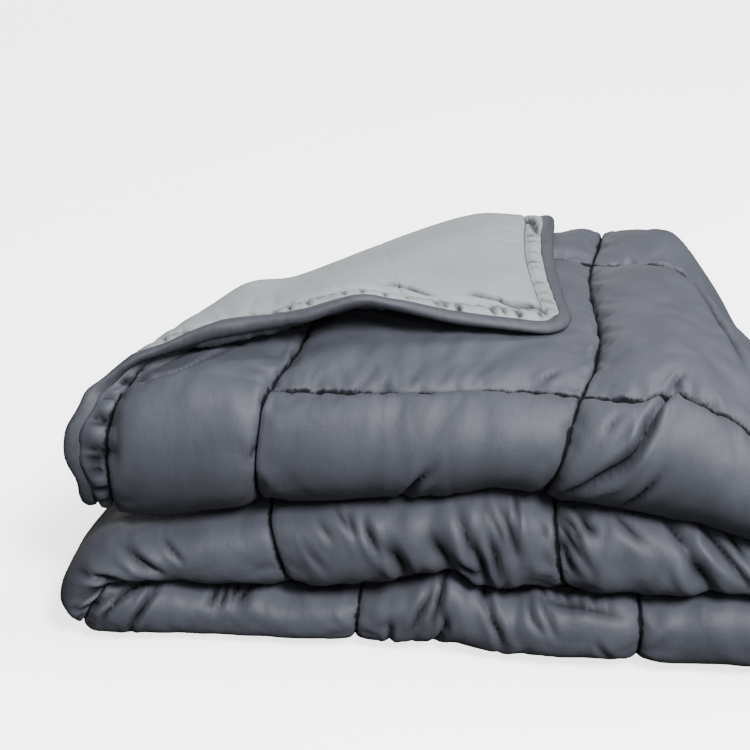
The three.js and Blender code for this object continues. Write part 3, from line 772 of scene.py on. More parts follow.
def stitch_wander(u, v):
    """Sideways drift of the cloth along its seams, with a small wander everywhere."""
    along = 1.3 * ripple(v / 70, 31) + 0.6 * ripple(v / 22, 32)
    for seam, rows in SEAM_DRIFTS_ALONG:
        places, drifts = zip(*rows)
        along = along + np.interp(v, places, drifts) * bell(u - seam, 90) * bell(v - 400, 320)
    places, drifts = zip(*SEAM_DRIFT_ACROSS)
    across = 1.3 * ripple(u / 70, 33) + 0.6 * ripple(u / 19, 34)
    held = bell(v - SEAMS_ACROSS[1], 60) * (1 - ease(u, 600, 680))
    return along, across + np.interp(u, places, drifts) * held


# Crumpling of the cover: a patch of the face is stitched down along its seams and left a little
# too large between them, and the filling pushes it out. Net step, share by which the cloth is too
# large, pressure of the filling, frames simulated and furthest that a place may move.
PATCH_STEP = 3.5
PATCH_GROWTH = 0.07
PATCH_PRESSURE = 3.0
PATCH_FRAMES = 12
PATCH_LIMIT = 9.0
PATCH_DEPTH = REAR_START - 5


def in_open_patch(u, v):
    """True for the top layer, the front noses and the outside of the left turn."""
    on_left = LEFT_TURN_START - 14 <= u <= LEFT_TURN_END + 14 and v <= PATCH_DEPTH
    return v <= NOSE_END + 60 and (u <= RIGHT_TURN_END + 14 or v >= NOSE_START - 20) or (
        on_left and v >= NOSE_START
    )


def rows_between(stops, counts):
    """Rows that pass through every stop, with so many even steps from each stop to the next."""
    rows = [stops[0]]
    for start, end, count in zip(stops[:-1], stops[1:], counts):
        rows.extend(np.linspace(start, end, count + 1)[1:])
    return np.array(rows)


def even_rows(stops, step):
    """Rows about one step apart that pass through every stop."""
    gaps = zip(stops[:-1], stops[1:])
    return rows_between(stops, [max(round((end - start) / step), 1) for start, end in gaps])


def grid_places(bm, count_u, count_v):
    """Row numbers of the corners of a fresh unit grid."""
    return np.array([
        (round((corner.co.x + 1) / 2 * (count_u - 1)), round((corner.co.y + 1) / 2 * (count_v - 1)))
        for corner in bm.verts
    ])


def crumpled_patch(sizes):
    """Cloth simulation of the open face, as a displacement in millimetres for each grid corner."""
    ends = [LENGTH - BORDER_SEAM, LENGTH - BODY_INSET]
    rows_u = even_rows([BODY_INSET, BORDER_SEAM, *SEAMS_ALONG, *ends], PATCH_STEP)
    rows_v = even_rows([BODY_INSET, BORDER_SEAM, *SEAMS_ACROSS[:3], PATCH_DEPTH], PATCH_STEP)
    moved = np.zeros((len(rows_u), len(rows_v), 3))
    bm = bmesh.new()
    bmesh.ops.create_grid(bm, x_segments=len(rows_u) - 1, y_segments=len(rows_v) - 1, size=1)
    places = grid_places(bm, len(rows_u), len(rows_v))
    outside = [
        corner for corner, (i, j) in zip(bm.verts, places) if not in_open_patch(rows_u[i], rows_v[j])
    ]
    for corner, (i, j) in zip(bm.verts, places):
        corner.co = (rows_u[i], rows_v[j], 0)
    bmesh.ops.delete(bm, geom=outside, context="VERTS")
    held = np.array([corner.is_boundary for corner in bm.verts])
    flat = np.array([corner.co for corner in bm.verts])
    patch = finished_object("crumpled patch", bm, [])
    u, v = flat[:, 0], flat[:, 1]
    draws = np.random.default_rng(3)
    flat[:, 2] = face_half(u, v, sizes) + draws.normal(0, 0.15, len(flat))
    patch.data.vertices.foreach_set("co", flat.ravel() / 1000)
    patch.data.update()
    gap = np.minimum(*seam_gaps(u, v))
    sewn = patch.vertex_groups.new(name="sewn")
    sewn.add([int(k) for k in np.flatnonzero(held | (gap < ON_SEAM))], 1, "REPLACE")
    cloth = patch.modifiers.new("cloth", "CLOTH")
    settings = cloth.settings
    settings.vertex_group_mass = "sewn"
    settings.quality = 4
    settings.mass = 0.12
    settings.tension_stiffness = settings.compression_stiffness = 60
    settings.shear_stiffness = 15
    settings.bending_stiffness = 4
    settings.tension_damping = settings.compression_damping = settings.shear_damping = 2
    settings.bending_damping = 0.2
    settings.air_damping = 3
    settings.use_pressure = True
    settings.uniform_pressure_force = PATCH_PRESSURE
    settings.shrink_min = settings.shrink_max = -PATCH_GROWTH
    settings.effector_weights.gravity = 0
    cloth.collision_settings.use_collision = False
    cloth.collision_settings.use_self_collision = False
    for step in range(1, PATCH_FRAMES + 1):
        bpy.context.scene.frame_set(step)
    settled = patch.evaluated_get(bpy.context.evaluated_depsgraph_get())
    after = np.empty(3 * len(flat))
    settled.data.vertices.foreach_get("co", after)
    bpy.context.scene.frame_set(1)
    bpy.data.meshes.remove(patch.data)
    shift = 1000 * after.reshape(-1, 3) - flat
    reach = np.linalg.norm(shift, axis=1, keepdims=True)
    shift = shift * np.minimum(1, PATCH_LIMIT / np.maximum(reach, 1e-9))
    i = np.searchsorted(rows_u, u - 0.01)
    j = np.searchsorted(rows_v, v - 0.01)
    moved[i, j] = shift
    return rows_u, rows_v, moved


def softened(grid, passes):
    """Smooths a grid of displacements over its neighbours."""
    for _ in range(passes):
        for axis in (0, 1):
            edge = [(1, 1) if k == axis else (0, 0) for k in range(3)]
            wide = np.pad(grid, edge, mode="edge")
            below = np.take(wide, range(grid.shape[axis]), axis)
            above = np.take(wide, range(2, grid.shape[axis] + 2), axis)
            grid = (below + 2 * grid + above) / 4
    return grid


def read_grid(rows_u, rows_v, grid, u, v):
    """Displacement at any place of the patch."""
    a = np.clip(np.interp(u, rows_u, np.arange(len(rows_u))), 0, len(rows_u) - 1.001)
    b = np.clip(np.interp(v, rows_v, np.arange(len(rows_v))), 0, len(rows_v) - 1.001)
    i, j = a.astype(int), b.astype(int)
    s, t = (a - i)[:, None], (b - j)[:, None]
    return (
        (grid[i, j] * (1 - s) + grid[i + 1, j] * s) * (1 - t)
        + (grid[i, j + 1] * (1 - s) + grid[i + 1, j + 1] * s) * t
    )


def crumple(u, v, sizes):
    """Crumpling at every place: strong near the seams and on the noses, soft in the boxes."""
    rows_u, rows_v, grid = crumpled_patch(sizes)
    broad = softened(grid, 12)
    gap = np.minimum(*seam_gaps(u, v))
    lower = 0.5 * ease(v, NOSE_START - 60, NOSE_START) * (bell(u - 960, 110) + bell(u - 1800, 80))
    reach = 14 + 12 * ease(u, RIGHT_TURN_START, RIGHT_TURN_END)
    fine_share = 0.25 + 0.75 * np.maximum(bell(gap, reach), lower)
    shift = 0.45 * read_grid(rows_u, rows_v, broad, u, v)
    shift = shift + fine_share[:, None] * read_grid(rows_u, rows_v, grid - broad, u, v)
    on_left = ease(u, LEFT_TURN_START - 14, LEFT_TURN_START) * (
        1 - ease(u, LEFT_TURN_END, LEFT_TURN_END + 14)
    )
    under_nose = (
        0.7 * ease(v, NOSE_END - 52, NOSE_END - 12) + 0.3 * ease(v, NOSE_END - 12, NOSE_END + 30)
    )
    kept = np.maximum(1 - under_nose, on_left * (v < PATCH_DEPTH))
    return shift * kept[:, None]


# Flat cage: its edge inside the binding, and its cells across a full box and an end box
BODY_INSET = 11.4
CELLS = 14
EDGE_CELLS = 7
# Only creases wider than this draw the corners of the cage onto their line, from this far away.
# A corner this near to a stitched line belongs to the seam.
NARROW_CREASE = 2.5
CREASE_PULL = 1.4
ON_SEAM = 0.5


def row_places(seams, size):
    """Places of the cage rows across the flat duvet: one band of border, then even cells."""
    stops = [BODY_INSET, BORDER_SEAM, *seams, size - BORDER_SEAM, size - BODY_INSET]
    return rows_between(stops, [1, EDGE_CELLS, *[CELLS] * (len(seams) - 1), EDGE_CELLS, 1])


def drawn_to_seams(at, seams, size, cell):
    """Moves mesh rows closer to each seam line, where the cloth bends hardest."""
    lines = np.array([BORDER_SEAM, *seams, size - BORDER_SEAM])
    away = at[:, None] - lines[None, :]
    nearest = np.abs(away).argmin(1)
    gap = np.take_along_axis(away, nearest[:, None], 1)[:, 0]
    share = np.clip(np.abs(gap) / cell, 0, 1)
    inside = (at > BORDER_SEAM) & (at < size - BORDER_SEAM)
    moved = lines[nearest] + np.sign(gap) * cell * share**1.35
    return np.where(inside & (share < 1), moved, at)


def seen_closely(u, v, on_face):
    """True where the cloth shows from the front, the top or the ends."""
    bare_corner = across_turn(LEFT_END_X + u, CORNER_START[1] - v)
    if not on_face:
        return u < RIGHT_TURN_START and v < NOSE_START + 20 and bare_corner > -45
    on_top = u < RIGHT_TURN_END + 10 and v < NOSE_END + 14
    on_nose = NOSE_START - 22 < v < NOSE_END + 14
    on_left = LEFT_TURN_START - 12 < u < LEFT_TURN_END + 12 and NOSE_START < v < REAR_START + 20
    at_end = u < 40 and v < REAR_START
    return on_top or on_nose or on_left or at_end


def seen_at_all(u, v, on_face):
    if seen_closely(u, v, on_face):
        return True
    rear_nose = REAR_START - 25 < v < REAR_END + 25
    edge = min(u, LENGTH - u, v, WIDTH - v) < BORDER_SEAM + 12
    bared = across_turn(LEFT_END_X + u, NOSE_Y + BOTTOM_RUN - (v - REAR_END))
    under_flap = on_face and u < 440 and v > REAR_END and bared > -30
    return rear_nose or edge or under_flap


def faces_edges(bm, wanted):
    """Edges of the face and reverse cells that the test picks."""
    edges = set()
    for cell in bm.faces:
        heights = [corner.co.z for corner in cell.verts]
        if min(heights) * max(heights) <= 0:
            continue
        centre = cell.calc_center_median()
        if wanted(centre.x, centre.y, centre.z > 0):
            edges.update(cell.edges)
    return list(edges)


def flat_duvet():
    """Closed flat cage of the duvet: face at z = 1, reverse at z = -1, joined round the rim."""
    rows_u = row_places(SEAMS_ALONG, LENGTH)
    rows_v = row_places(SEAMS_ACROSS, WIDTH)
    bm = bmesh.new()
    bmesh.ops.create_grid(bm, x_segments=len(rows_u) - 1, y_segments=len(rows_v) - 1, size=1)
    for corner, (i, j) in zip(bm.verts, grid_places(bm, len(rows_u), len(rows_v))):
        corner.co = (rows_u[i], rows_v[j], 1)
    below = bmesh.ops.duplicate(bm, geom=bm.verts[:] + bm.edges[:] + bm.faces[:])["geom"]
    cells = [part for part in below if isinstance(part, bmesh.types.BMFace)]
    bmesh.ops.reverse_faces(bm, faces=cells)
    corners = [part for part in below if isinstance(part, bmesh.types.BMVert)]
    bmesh.ops.translate(bm, verts=corners, vec=(0, 0, -2))
    rims = [edge for edge in bm.edges if edge.is_boundary]
    bmesh.ops.bridge_loops(bm, edges=rims)
    bmesh.ops.subdivide_edges(bm, edges=faces_edges(bm, seen_at_all), cuts=1, use_grid_fill=True)
    bmesh.ops.subdivide_edges(bm, edges=faces_edges(bm, seen_closely), cuts=2, use_grid_fill=True)
    wide = [cell for cell in bm.faces if len(cell.verts) > 4]
    bmesh.ops.triangulate(bm, faces=wide)
    bmesh.ops.recalc_face_normals(bm, faces=bm.faces[:])
    return bm


def rounded_corners(u, v):
    """Carries the square corners of the cage onto the duvet's rounded ones."""
    du = np.minimum(u, LENGTH - u)
    dv = np.minimum(v, WIDTH - v)
    in_corner = (du < CORNER) & (dv < CORNER)
    out_u = np.clip(CORNER - du, 1e-6, None)
    out_v = np.clip(CORNER - dv, 1e-6, None)
    share = np.maximum(out_u, out_v) / np.hypot(out_u, out_v)
    new_du = np.where(in_corner, CORNER - out_u * share, du)
    new_dv = np.where(in_corner, CORNER - out_v * share, dv)
    return (
        np.where(u < LENGTH / 2, new_du, LENGTH - new_du),
        np.where(v < WIDTH / 2, new_dv, WIDTH - new_dv),
    )


def finished_object(name, bm, materials):
    mesh = bpy.data.meshes.new(name)
    bm.to_mesh(mesh)
    bm.free()
    for material in materials:
        mesh.materials.append(material)
    piece = bpy.data.objects.new(name, mesh)
    bpy.context.scene.collection.objects.link(piece)
    for cell in mesh.polygons:
        cell.use_smooth = True
    return piece


def put_cloth_map(mesh, u, v):
    """UV map in metres of cloth, so that weave and thread keep their real size in the folds."""
    layer = mesh.uv_layers.new(name="cloth")
    corner_of = np.empty(len(mesh.loops), np.int32)
    mesh.loops.foreach_get("vertex_index", corner_of)
    flat = np.stack([u[corner_of], v[corner_of]], -1) / 1000
    layer.data.foreach_set("uv", flat.astype(np.float32).ravel())


def put_share(mesh, name, values):
    """One number for each corner of the mesh, which a material reads by its name."""
    mesh.attributes.new(name, "FLOAT", "POINT").data.foreach_set("value", values.astype(np.float32))


def add_node(tree, kind, links=(), **settings):
    """Adds a node, sets its values and inputs by name, and links its inputs from sockets."""
    node = tree.nodes.new(kind)
    for name, value in settings.items():
        if name == "inputs":
            for socket, amount in value.items():
                node.inputs[socket].default_value = amount
        else:
            setattr(node, name, value)
    for source, socket in links:
        tree.links.new(source, node.inputs[socket])
    return node


def new_material(name):
    material = bpy.data.materials.new(name)
    material.use_nodes = True
    material.node_tree.nodes.clear()
    return material, material.node_tree


def woven_cloth(name, colour, shade, roughness, sheen, streak, depth, seam_shade_width):
    """Brushed microfibre: a dense weave whose fine fibres scatter light softly at grazing angles,
    with painted shade along the seams and in the creases.
    """
    material, tree = new_material(name)
    place = add_node(tree, "ShaderNodeUVMap", uv_map="cloth").outputs["UV"]
    # Slubs: threads a little thicker than their neighbours, 40 mm long. They are drawn 1.5 mm wide
    # because single threads of about 0.2 mm are too fine to show.
    warp = add_node(tree, "ShaderNodeMapping", [(place, "Vector")], inputs={"Scale": (25, 650, 1)})
    weft = add_node(tree, "ShaderNodeMapping", [(place, "Vector")], inputs={"Scale": (650, 25, 1)})
    slub_a = add_node(tree, "ShaderNodeTexNoise", [(warp.outputs[0], "Vector")],
                      inputs={"Scale": 1, "Detail": 2, "Roughness": 0.5})
    slub_b = add_node(tree, "ShaderNodeTexNoise", [(weft.outputs[0], "Vector")],
                      inputs={"Scale": 1, "Detail": 2, "Roughness": 0.5})
    slubs = add_node(tree, "ShaderNodeMath", [(slub_a.outputs["Fac"], 0), (slub_b.outputs["Fac"], 1)],
                     operation="ADD")
    # Brushing leaves soft light and dark patches about 60 mm across
    patches = add_node(tree, "ShaderNodeTexNoise", [(place, "Vector")],
                       inputs={"Scale": 16, "Detail": 3, "Roughness": 0.55})
    both = add_node(tree, "ShaderNodeMath", [(slubs.outputs[0], 0), (patches.outputs["Fac"], 2)],
                    operation="MULTIPLY_ADD", inputs={1: streak})
    ramp = add_node(tree, "ShaderNodeMapRange", [(both.outputs[0], "Value")],
                    inputs={"From Min": 0.3 + streak, "From Max": 0.75 + streak})
    tint = add_node(tree, "ShaderNodeMix", [(ramp.outputs[0], "Factor")], data_type="RGBA")
    tint.inputs["A"].default_value = (*shade, 1)
    tint.inputs["B"].default_value = (*colour, 1)
    # Painted shade along the seams: darkest on the stitched line and fading out, with a ragged edge
    # of small painted pucker shadows
    shade_edge_noise = add_node(tree, "ShaderNodeTexNoise", [(place, "Vector")],
                      inputs={"Scale": 110, "Detail": 4, "Roughness": 0.7})
    uneven = add_node(tree, "ShaderNodeMapRange", [(shade_edge_noise.outputs["Fac"], "Value")],
                      inputs={"From Min": 0.34, "From Max": 0.66, "To Min": 0.3 * seam_shade_width,
                              "To Max": seam_shade_width})
    stitches = add_node(tree, "ShaderNodeAttribute", attribute_name="seam_shade_distance")
    line = add_node(tree, "ShaderNodeMath", [(stitches.outputs["Fac"], 0), (uneven.outputs[0], 1)],
                    operation="DIVIDE")
    seam = add_node(tree, "ShaderNodeMapRange", [(line.outputs[0], "Value")],
                    interpolation_type="SMOOTHSTEP",
                    inputs={"From Min": 0.3, "From Max": 1.0, "To Min": depth, "To Max": 1.0})
    # Painted shade in the creases too, darkest at their bottom, at half the seams' darkest factor
    crease_shade = add_node(tree, "ShaderNodeAttribute", attribute_name="crease_shade")
    crease = add_node(tree, "ShaderNodeMapRange", [(crease_shade.outputs["Fac"], "Value")],
                      inputs={"To Min": 1.0, "To Max": 0.5 * depth})
    dark = add_node(tree, "ShaderNodeMath", [(seam.outputs[0], 0), (crease.outputs[0], 1)],
                    operation="MULTIPLY")
    body = add_node(tree, "ShaderNodeMix",
                    [(tint.outputs["Result"], "A"), (dark.outputs[0], "B")],
                    data_type="RGBA", blend_type="MULTIPLY", inputs={"Factor": 1})
    # Fine crumple of the thin cloth, 3 to 8 mm
    crumple = add_node(tree, "ShaderNodeTexNoise", [(place, "Vector")],
                       inputs={"Scale": 150, "Detail": 4, "Roughness": 0.6})
    relief = add_node(tree, "ShaderNodeMath", [(crumple.outputs["Fac"], 0), (slubs.outputs[0], 2)],
                      operation="MULTIPLY_ADD", inputs={1: 7.0})
    bump = add_node(tree, "ShaderNodeBump", [(relief.outputs[0], "Height")],
                    inputs={"Strength": 0.35, "Distance": 0.00018})
    # Specular level is 0.3 on open cloth, and the painted shade lowers it in the seams and creases
    shaded_specular = add_node(tree, "ShaderNodeMath", [(dark.outputs[0], 0)],
                     operation="MULTIPLY", inputs={1: 0.3})
    shader = add_node(tree, "ShaderNodeBsdfPrincipled",
                      [(body.outputs["Result"], "Base Color"), (bump.outputs[0], "Normal"),
                       (shaded_specular.outputs[0], "Specular IOR Level")],
                      inputs={"Roughness": roughness, "IOR": 1.45,
                              "Sheen Weight": sheen, "Sheen Roughness": 0.5})
    add_node(tree, "ShaderNodeOutputMaterial", [(shader.outputs[0], "Surface")])
    return material


def binding_tape(name, colour):
    """Satin-faced polyester bias tape: a diagonal rib that gives a slightly brighter edge."""
    material, tree = new_material(name)
    place = add_node(tree, "ShaderNodeUVMap", uv_map="cloth").outputs["UV"]
    # Bias rib, drawn at 1.8 mm because the real 0.4 mm rib is too fine to show
    rib = add_node(tree, "ShaderNodeTexWave", [(place, "Vector")], wave_type="BANDS",
                   bands_direction="DIAGONAL",
                   inputs={"Scale": 350, "Distortion": 0.6, "Detail": 1})
    crumple = add_node(tree, "ShaderNodeTexNoise", [(place, "Vector")],
                       inputs={"Scale": 180, "Detail": 3})
    relief = add_node(tree, "ShaderNodeMath", [(crumple.outputs["Fac"], 0), (rib.outputs["Fac"], 2)],
                      operation="MULTIPLY_ADD", inputs={1: 4.0})
    bump = add_node(tree, "ShaderNodeBump", [(relief.outputs[0], "Height")],
                    inputs={"Strength": 0.3, "Distance": 0.0002})
    tone = add_node(tree, "ShaderNodeMapRange", [(crumple.outputs["Fac"], "Value")],
                    inputs={"From Min": 0.3, "From Max": 0.7, "To Min": 0.7, "To Max": 0.95})
    tint = add_node(tree, "ShaderNodeMix", [(tone.outputs[0], "B")], data_type="RGBA",
                    blend_type="MULTIPLY", inputs={"Factor": 1})
    tint.inputs["A"].default_value = (*colour, 1)
    shader = add_node(tree, "ShaderNodeBsdfPrincipled",
                      [(tint.outputs["Result"], "Base Color"), (bump.outputs[0], "Normal")],
                      inputs={"Roughness": 0.6, "IOR": 1.48, "Specular IOR Level": 0.25})
    add_node(tree, "ShaderNodeOutputMaterial", [(shader.outputs[0], "Surface")])
    return material


def studio_floor(colour):
    """Matt paper sweep."""
    material, tree = new_material("paper sweep")
    shader = add_node(tree, "ShaderNodeBsdfPrincipled",
                      inputs={"Base Color": (*colour, 1), "Roughness": 0.9,
                              "Emission Color": (1, 1, 1, 1), "Emission Strength": FLOOR_GLOW})
    add_node(tree, "ShaderNodeOutputMaterial", [(shader.outputs[0], "Surface")])
    return material


class DuvetSizes(PropertyGroup):
    face_crown: FloatProperty(
        name="Face crown", default=9.2, min=0, max=14,
        description="How far the face rises between its seams, in millimetres",
    )
    reverse_crown: FloatProperty(
        name="Reverse crown", default=7.1, min=0, max=12,
        description="How far the reverse rises between its seams, in millimetres",
    )
    groove: FloatProperty(
        name="Seam groove", default=3.4, min=0, max=4,
        description="How far the stitching draws the cover in along its line, in millimetres",
    )
    gather: FloatProperty(
        name="Gathers", default=1.0, min=0, max=2, subtype="FACTOR",
        description="Depth of the puckers beside the seams",
    )
    face_colour: FloatVectorProperty(
        name="Face", subtype="COLOR", default=linear("40424a"),
        description="Charcoal of the brushed face",
    )
    face_shade: FloatVectorProperty(
        name="Face shade", subtype="COLOR", default=linear("383a41"),
        description="Darker charcoal where the brushing lies the other way",
    )
    reverse_colour: FloatVectorProperty(
        name="Reverse", subtype="COLOR", default=linear("7b8183"),
        description="Pale grey of the smooth reverse",
    )
    reverse_shade: FloatVectorProperty(
        name="Reverse shade", subtype="COLOR", default=linear("72787a"),
        description="Darker pale grey of the reverse",
    )
    tape_colour: FloatVectorProperty(
        name="Binding", subtype="COLOR", default=linear("3e4046"),
        description="Charcoal of the edge binding",
    )
    floor_colour: FloatVectorProperty(
        name="Floor", subtype="COLOR", default=linear("fafafa"),
        description="Pale floor under the duvet",
    )


class MakeDuvet(Operator):
    """Makes the filled duvet with its crowned boxes, puckers and creases, folded into the stack"""

    bl_idname = "folded_duvet.make_duvet"
    bl_label = "Duvet"

    def execute(self, context):
        sizes = context.scene.folded_duvet
        bm = flat_duvet()
        # Each cloth's painted shade: depth is its darkest factor on the seams, the creases reach half
        # of it, and the stitch width is how far in millimetres the seam shade spreads
        face_cloth = woven_cloth(
            "charcoal brushed microfibre", sizes.face_colour, sizes.face_shade,
            roughness=0.6, sheen=0.02, streak=0.15, depth=0.1, seam_shade_width=3.8,
        )
        reverse_cloth = woven_cloth(
            "pale grey microfibre", sizes.reverse_colour, sizes.reverse_shade,
            roughness=0.65, sheen=0.02, streak=0.1, depth=0.4, seam_shade_width=1.8,
        )
        piece = finished_object("duvet_filled", bm, [face_cloth, reverse_cloth])
        mesh = piece.data
        flat = np.empty(3 * len(mesh.vertices))
        mesh.vertices.foreach_get("co", flat)
        flat = flat.reshape(-1, 3)
        u = drawn_to_seams(flat[:, 0], SEAMS_ALONG, LENGTH, BOX / CELLS)
        v = drawn_to_seams(flat[:, 1], SEAMS_ACROSS, WIDTH, BOX / CELLS)
        u, v = rounded_corners(u, v)
        on_face = flat[:, 2] > 0
        for creases, side in ((FACE_CREASES, on_face), (REVERSE_CREASES, ~on_face)):
            traced = [crease for crease in creases if crease.width > NARROW_CREASE]
            drawn_u, drawn_v = drawn_to_creases(u, v, traced, CREASE_PULL)
            free = side & (np.minimum(*seam_gaps(u, v)) > ON_SEAM)
            u, v = np.where(free, drawn_u, u), np.where(free, drawn_v, v)
        put_cloth_map(mesh, u, v)
        # Painted shade for the materials: how far the creases darken the colour, and the distance to
        # the seams that becomes painted seam shade
        put_share(mesh, "crease_shade", crease_shade_share(u, v, on_face))
        put_share(mesh, "seam_shade_distance", seam_shade_distance(u, v, on_face))
        shift = crumple(u, v, sizes) * on_face[:, None]
        face = face_half(u, v, sizes) + shift[:, 2] + face_relief(u, v, sizes)
        face = np.maximum(face, THINNEST_HALF)
        offset = np.where(on_face, face, -reverse_half(u, v, sizes))
        wander_u, wander_v = stitch_wander(u, v)
        places = fold(u + wander_u + shift[:, 0], v + wander_v + shift[:, 1], offset)
        mesh.vertices.foreach_set("co", places.ravel())
        mesh.update()
        for cell in mesh.polygons:
            cell.material_index = 0 if any(on_face[list(cell.vertices)]) else 1
        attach(piece, "root")
        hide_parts("duvet")
        return {"FINISHED"}


# Distance from one section of the tape to the next round the rim
TAPE_STEP = 4.0


class MakeBinding(Operator):
    """Makes the rounded tape over the duvet's edges"""

    bl_idname = "folded_duvet.make_binding"
    bl_label = "Edge binding"

    def execute(self, context):
        sizes = context.scene.folded_duvet
        rim = rim_stations(TAPE_STEP)
        profile = tape_profile()
        bm = bmesh.new()
        bmesh.ops.create_grid(bm, x_segments=len(rim), y_segments=len(profile), size=1)
        rows = grid_places(bm, len(rim) + 1, len(profile) + 1)
        station = rim[rows[:, 0] % len(rim)]
        ring = profile[rows[:, 1] % len(profile)]
        along = station[:, 4]
        swell = 1 + 0.07 * ripple(along / 23, 61) + 0.05 * ripple(along / 7, 62)
        u = station[:, 0] + ring[:, 0] * station[:, 2]
        v = station[:, 1] + ring[:, 0] * station[:, 3]
        wander_u, wander_v = stitch_wander(u, v)
        places = fold(u + wander_u, v + wander_v, ring[:, 1] * swell)
        for corner, place in zip(bm.verts, places):
            corner.co = Vector(place)
        flat = np.stack([along + rows[:, 0] // len(rim) * along.max(), 2.0 * rows[:, 1]], -1)
        layer = bm.loops.layers.uv.new("cloth")
        for cell in bm.faces:
            for corner in cell.loops:
                corner[layer].uv = flat[corner.vert.index] / 1000
        bmesh.ops.remove_doubles(bm, verts=bm.verts[:], dist=1e-6)
        bmesh.ops.recalc_face_normals(bm, faces=bm.faces[:])
        tape = binding_tape("charcoal bias tape", sizes.tape_colour)
        piece = finished_object("edge_binding", bm, [tape])
        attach(piece, "root")
        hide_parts("binding")
        return {"FINISHED"}


def rim_stations(step):
    """Stations round the rim at the binding's inner line: u, v, outward direction, distance."""
    near = BINDING
    radius = CORNER - near
    far_u = LENGTH - CORNER
    far_v = WIDTH - CORNER
    rows = []

    def run(start, end, out):
        count = max(int(np.hypot(*(np.array(end) - start)) / step), 1)
        for t in np.arange(count) / count:
            rows.append((*(np.array(start) * (1 - t) + np.array(end) * t), *out))

    def arc(centre, start):
        for k in range(8):
            angle = start + math.pi / 2 * k / 8
            out = (math.cos(angle), math.sin(angle))
            rows.append((centre[0] + radius * out[0], centre[1] + radius * out[1], *out))

    run((CORNER, near), (far_u, near), (0, -1))
    arc((far_u, CORNER), -math.pi / 2)
    run((LENGTH - near, CORNER), (LENGTH - near, far_v), (1, 0))
    arc((far_u, far_v), 0)
    run((far_u, WIDTH - near), (CORNER, WIDTH - near), (0, 1))
    arc((CORNER, far_v), math.pi / 2)
    run((near, far_v), (near, CORNER), (-1, 0))
    arc((CORNER, CORNER), math.pi)
    rows = np.array(rows)
    steps = np.hypot(*(np.roll(rows[:, :2], -1, 0) - rows[:, :2]).T)
    return np.column_stack([rows, np.concatenate([[0], np.cumsum(steps)[:-1]])])


def tape_profile():
    """Section of the tape: distance out from its inner line, and height."""
    upper = [
        (0, 2.8), (0.5, 3.6), (1.6, 3.8), (3.0, 4.0), (5.2, 4.1), (7.6, 3.7), (9.6, 2.8), (11.0, 1.3),
    ]
    lower = [(x, -z) for x, z in reversed(upper)]
    return np.array([*upper, (11.5, 0), *lower], float)


# Soft lights: name, place in metres, side in metres, power in watts
LIGHTS = [
    ("key", (1.1, -1.9, 2.5), 0.9, 255),
    ("fill", (0.6, -2.7, 1.7), 1.6, 30),
    ("top", (1.3, 0.3, 2.4), 1.2, 85),
    ("rear", (-1.0, 2.8, 1.0), 2.0, 32),
]
# Strength of the even light from all round and of the floor's own glow, half the floor's side, and
# how far the floor lies below the stack, both in metres
ROOM_LIGHT = 0.11
FLOOR_GLOW = 2.6
FLOOR_HALF = 30
FLOOR_DROP = 0.0005


class MakeStage(Operator):
    """Makes the pale floor, the soft lights and the camera"""

    bl_idname = "folded_duvet.make_stage"
    bl_label = "Stage"

    def execute(self, context):
        sizes = context.scene.folded_duvet
        bm = bmesh.new()
        bmesh.ops.create_grid(bm, x_segments=1, y_segments=1, size=FLOOR_HALF)
        bmesh.ops.translate(bm, verts=bm.verts[:], vec=(0, 0, -FLOOR_DROP))
        floor = finished_object("floor", bm, [studio_floor(sizes.floor_colour)])
        # The sweep is far paler than the cloth, and its bounce would light the noses from below
        floor.visible_diffuse = floor.visible_glossy = False
        for name, place, size, power in LIGHTS:
            add_light(name, place, size, power)
        world = bpy.data.worlds.new("studio")
        world.use_nodes = True
        background = world.node_tree.nodes["Background"]
        background.inputs["Color"].default_value = (1, 1, 1, 1)
        background.inputs["Strength"].default_value = ROOM_LIGHT
        context.scene.world = world
        add_camera()
        return {"FINISHED"}


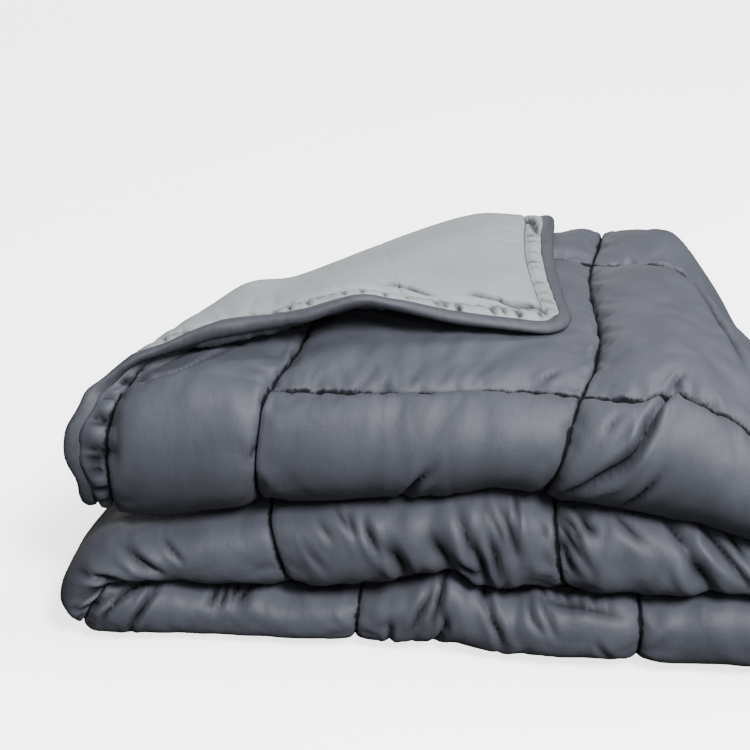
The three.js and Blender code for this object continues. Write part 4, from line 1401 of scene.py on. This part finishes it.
def add_light(name, place, size, power):
    """Square soft light that faces the duvet."""
    light = bpy.data.lights.new(name, "AREA")
    light.size = size
    light.energy = power
    lamp = bpy.data.objects.new(name, light)
    lamp.location = place
    lamp.rotation_euler = (Vector((0, 0, 0.1)) - Vector(place)).to_track_quat("-Z", "Y").to_euler()
    bpy.context.scene.collection.objects.link(lamp)


# Camera: its eye in the frame of the stack's front left corner, its angles and its lens
EYE = (396.0, -1270.0, 960.0)
PITCH_DOWN = math.radians(28)
YAW_LEFT = math.radians(6.13)
LENS = 86.4


def add_camera():
    data = bpy.data.cameras.new("camera")
    data.lens = LENS
    data.sensor_width = 36
    data.clip_start = 0.05
    data.clip_end = 60
    camera = bpy.data.objects.new("camera", data)
    camera.location = (
        (EYE[0] - STACK_CENTRE[0]) / 1000, (EYE[1] - STACK_CENTRE[1]) / 1000, EYE[2] / 1000,
    )
    camera.rotation_euler = (math.pi / 2 - PITCH_DOWN, 0, YAW_LEFT)
    bpy.context.scene.collection.objects.link(camera)
    bpy.context.scene.camera = camera


class DuvetPanel(Panel):
    """Lists the pieces of the folded duvet"""

    bl_idname = "VIEW3D_PT_folded_duvet"
    bl_label = "Folded duvet"
    bl_space_type = "VIEW_3D"
    bl_region_type = "UI"
    bl_category = "Duvet"

    def draw(self, context):
        sizes = context.scene.folded_duvet
        for name in sizes.bl_rna.properties.keys():
            if name not in {"rna_type", "name"}:
                self.layout.prop(sizes, name)
        for operator in OPERATORS:
            self.layout.operator(operator.bl_idname)


OPERATORS = [MakeStage, MakeDuvet, MakeBinding]
CLASSES = [DuvetSizes, *OPERATORS, DuvetPanel]


def register():
    for item in CLASSES:
        bpy.utils.register_class(item)
    bpy.types.Scene.folded_duvet = PointerProperty(type=DuvetSizes)


def unregister():
    del bpy.types.Scene.folded_duvet
    for item in reversed(CLASSES):
        bpy.utils.unregister_class(item)


def main():
    register()
    bpy.ops.folded_duvet.make_stage()
    bpy.ops.folded_duvet.make_duvet()
    bpy.ops.folded_duvet.make_binding()


if __name__ == "__main__":
    main()
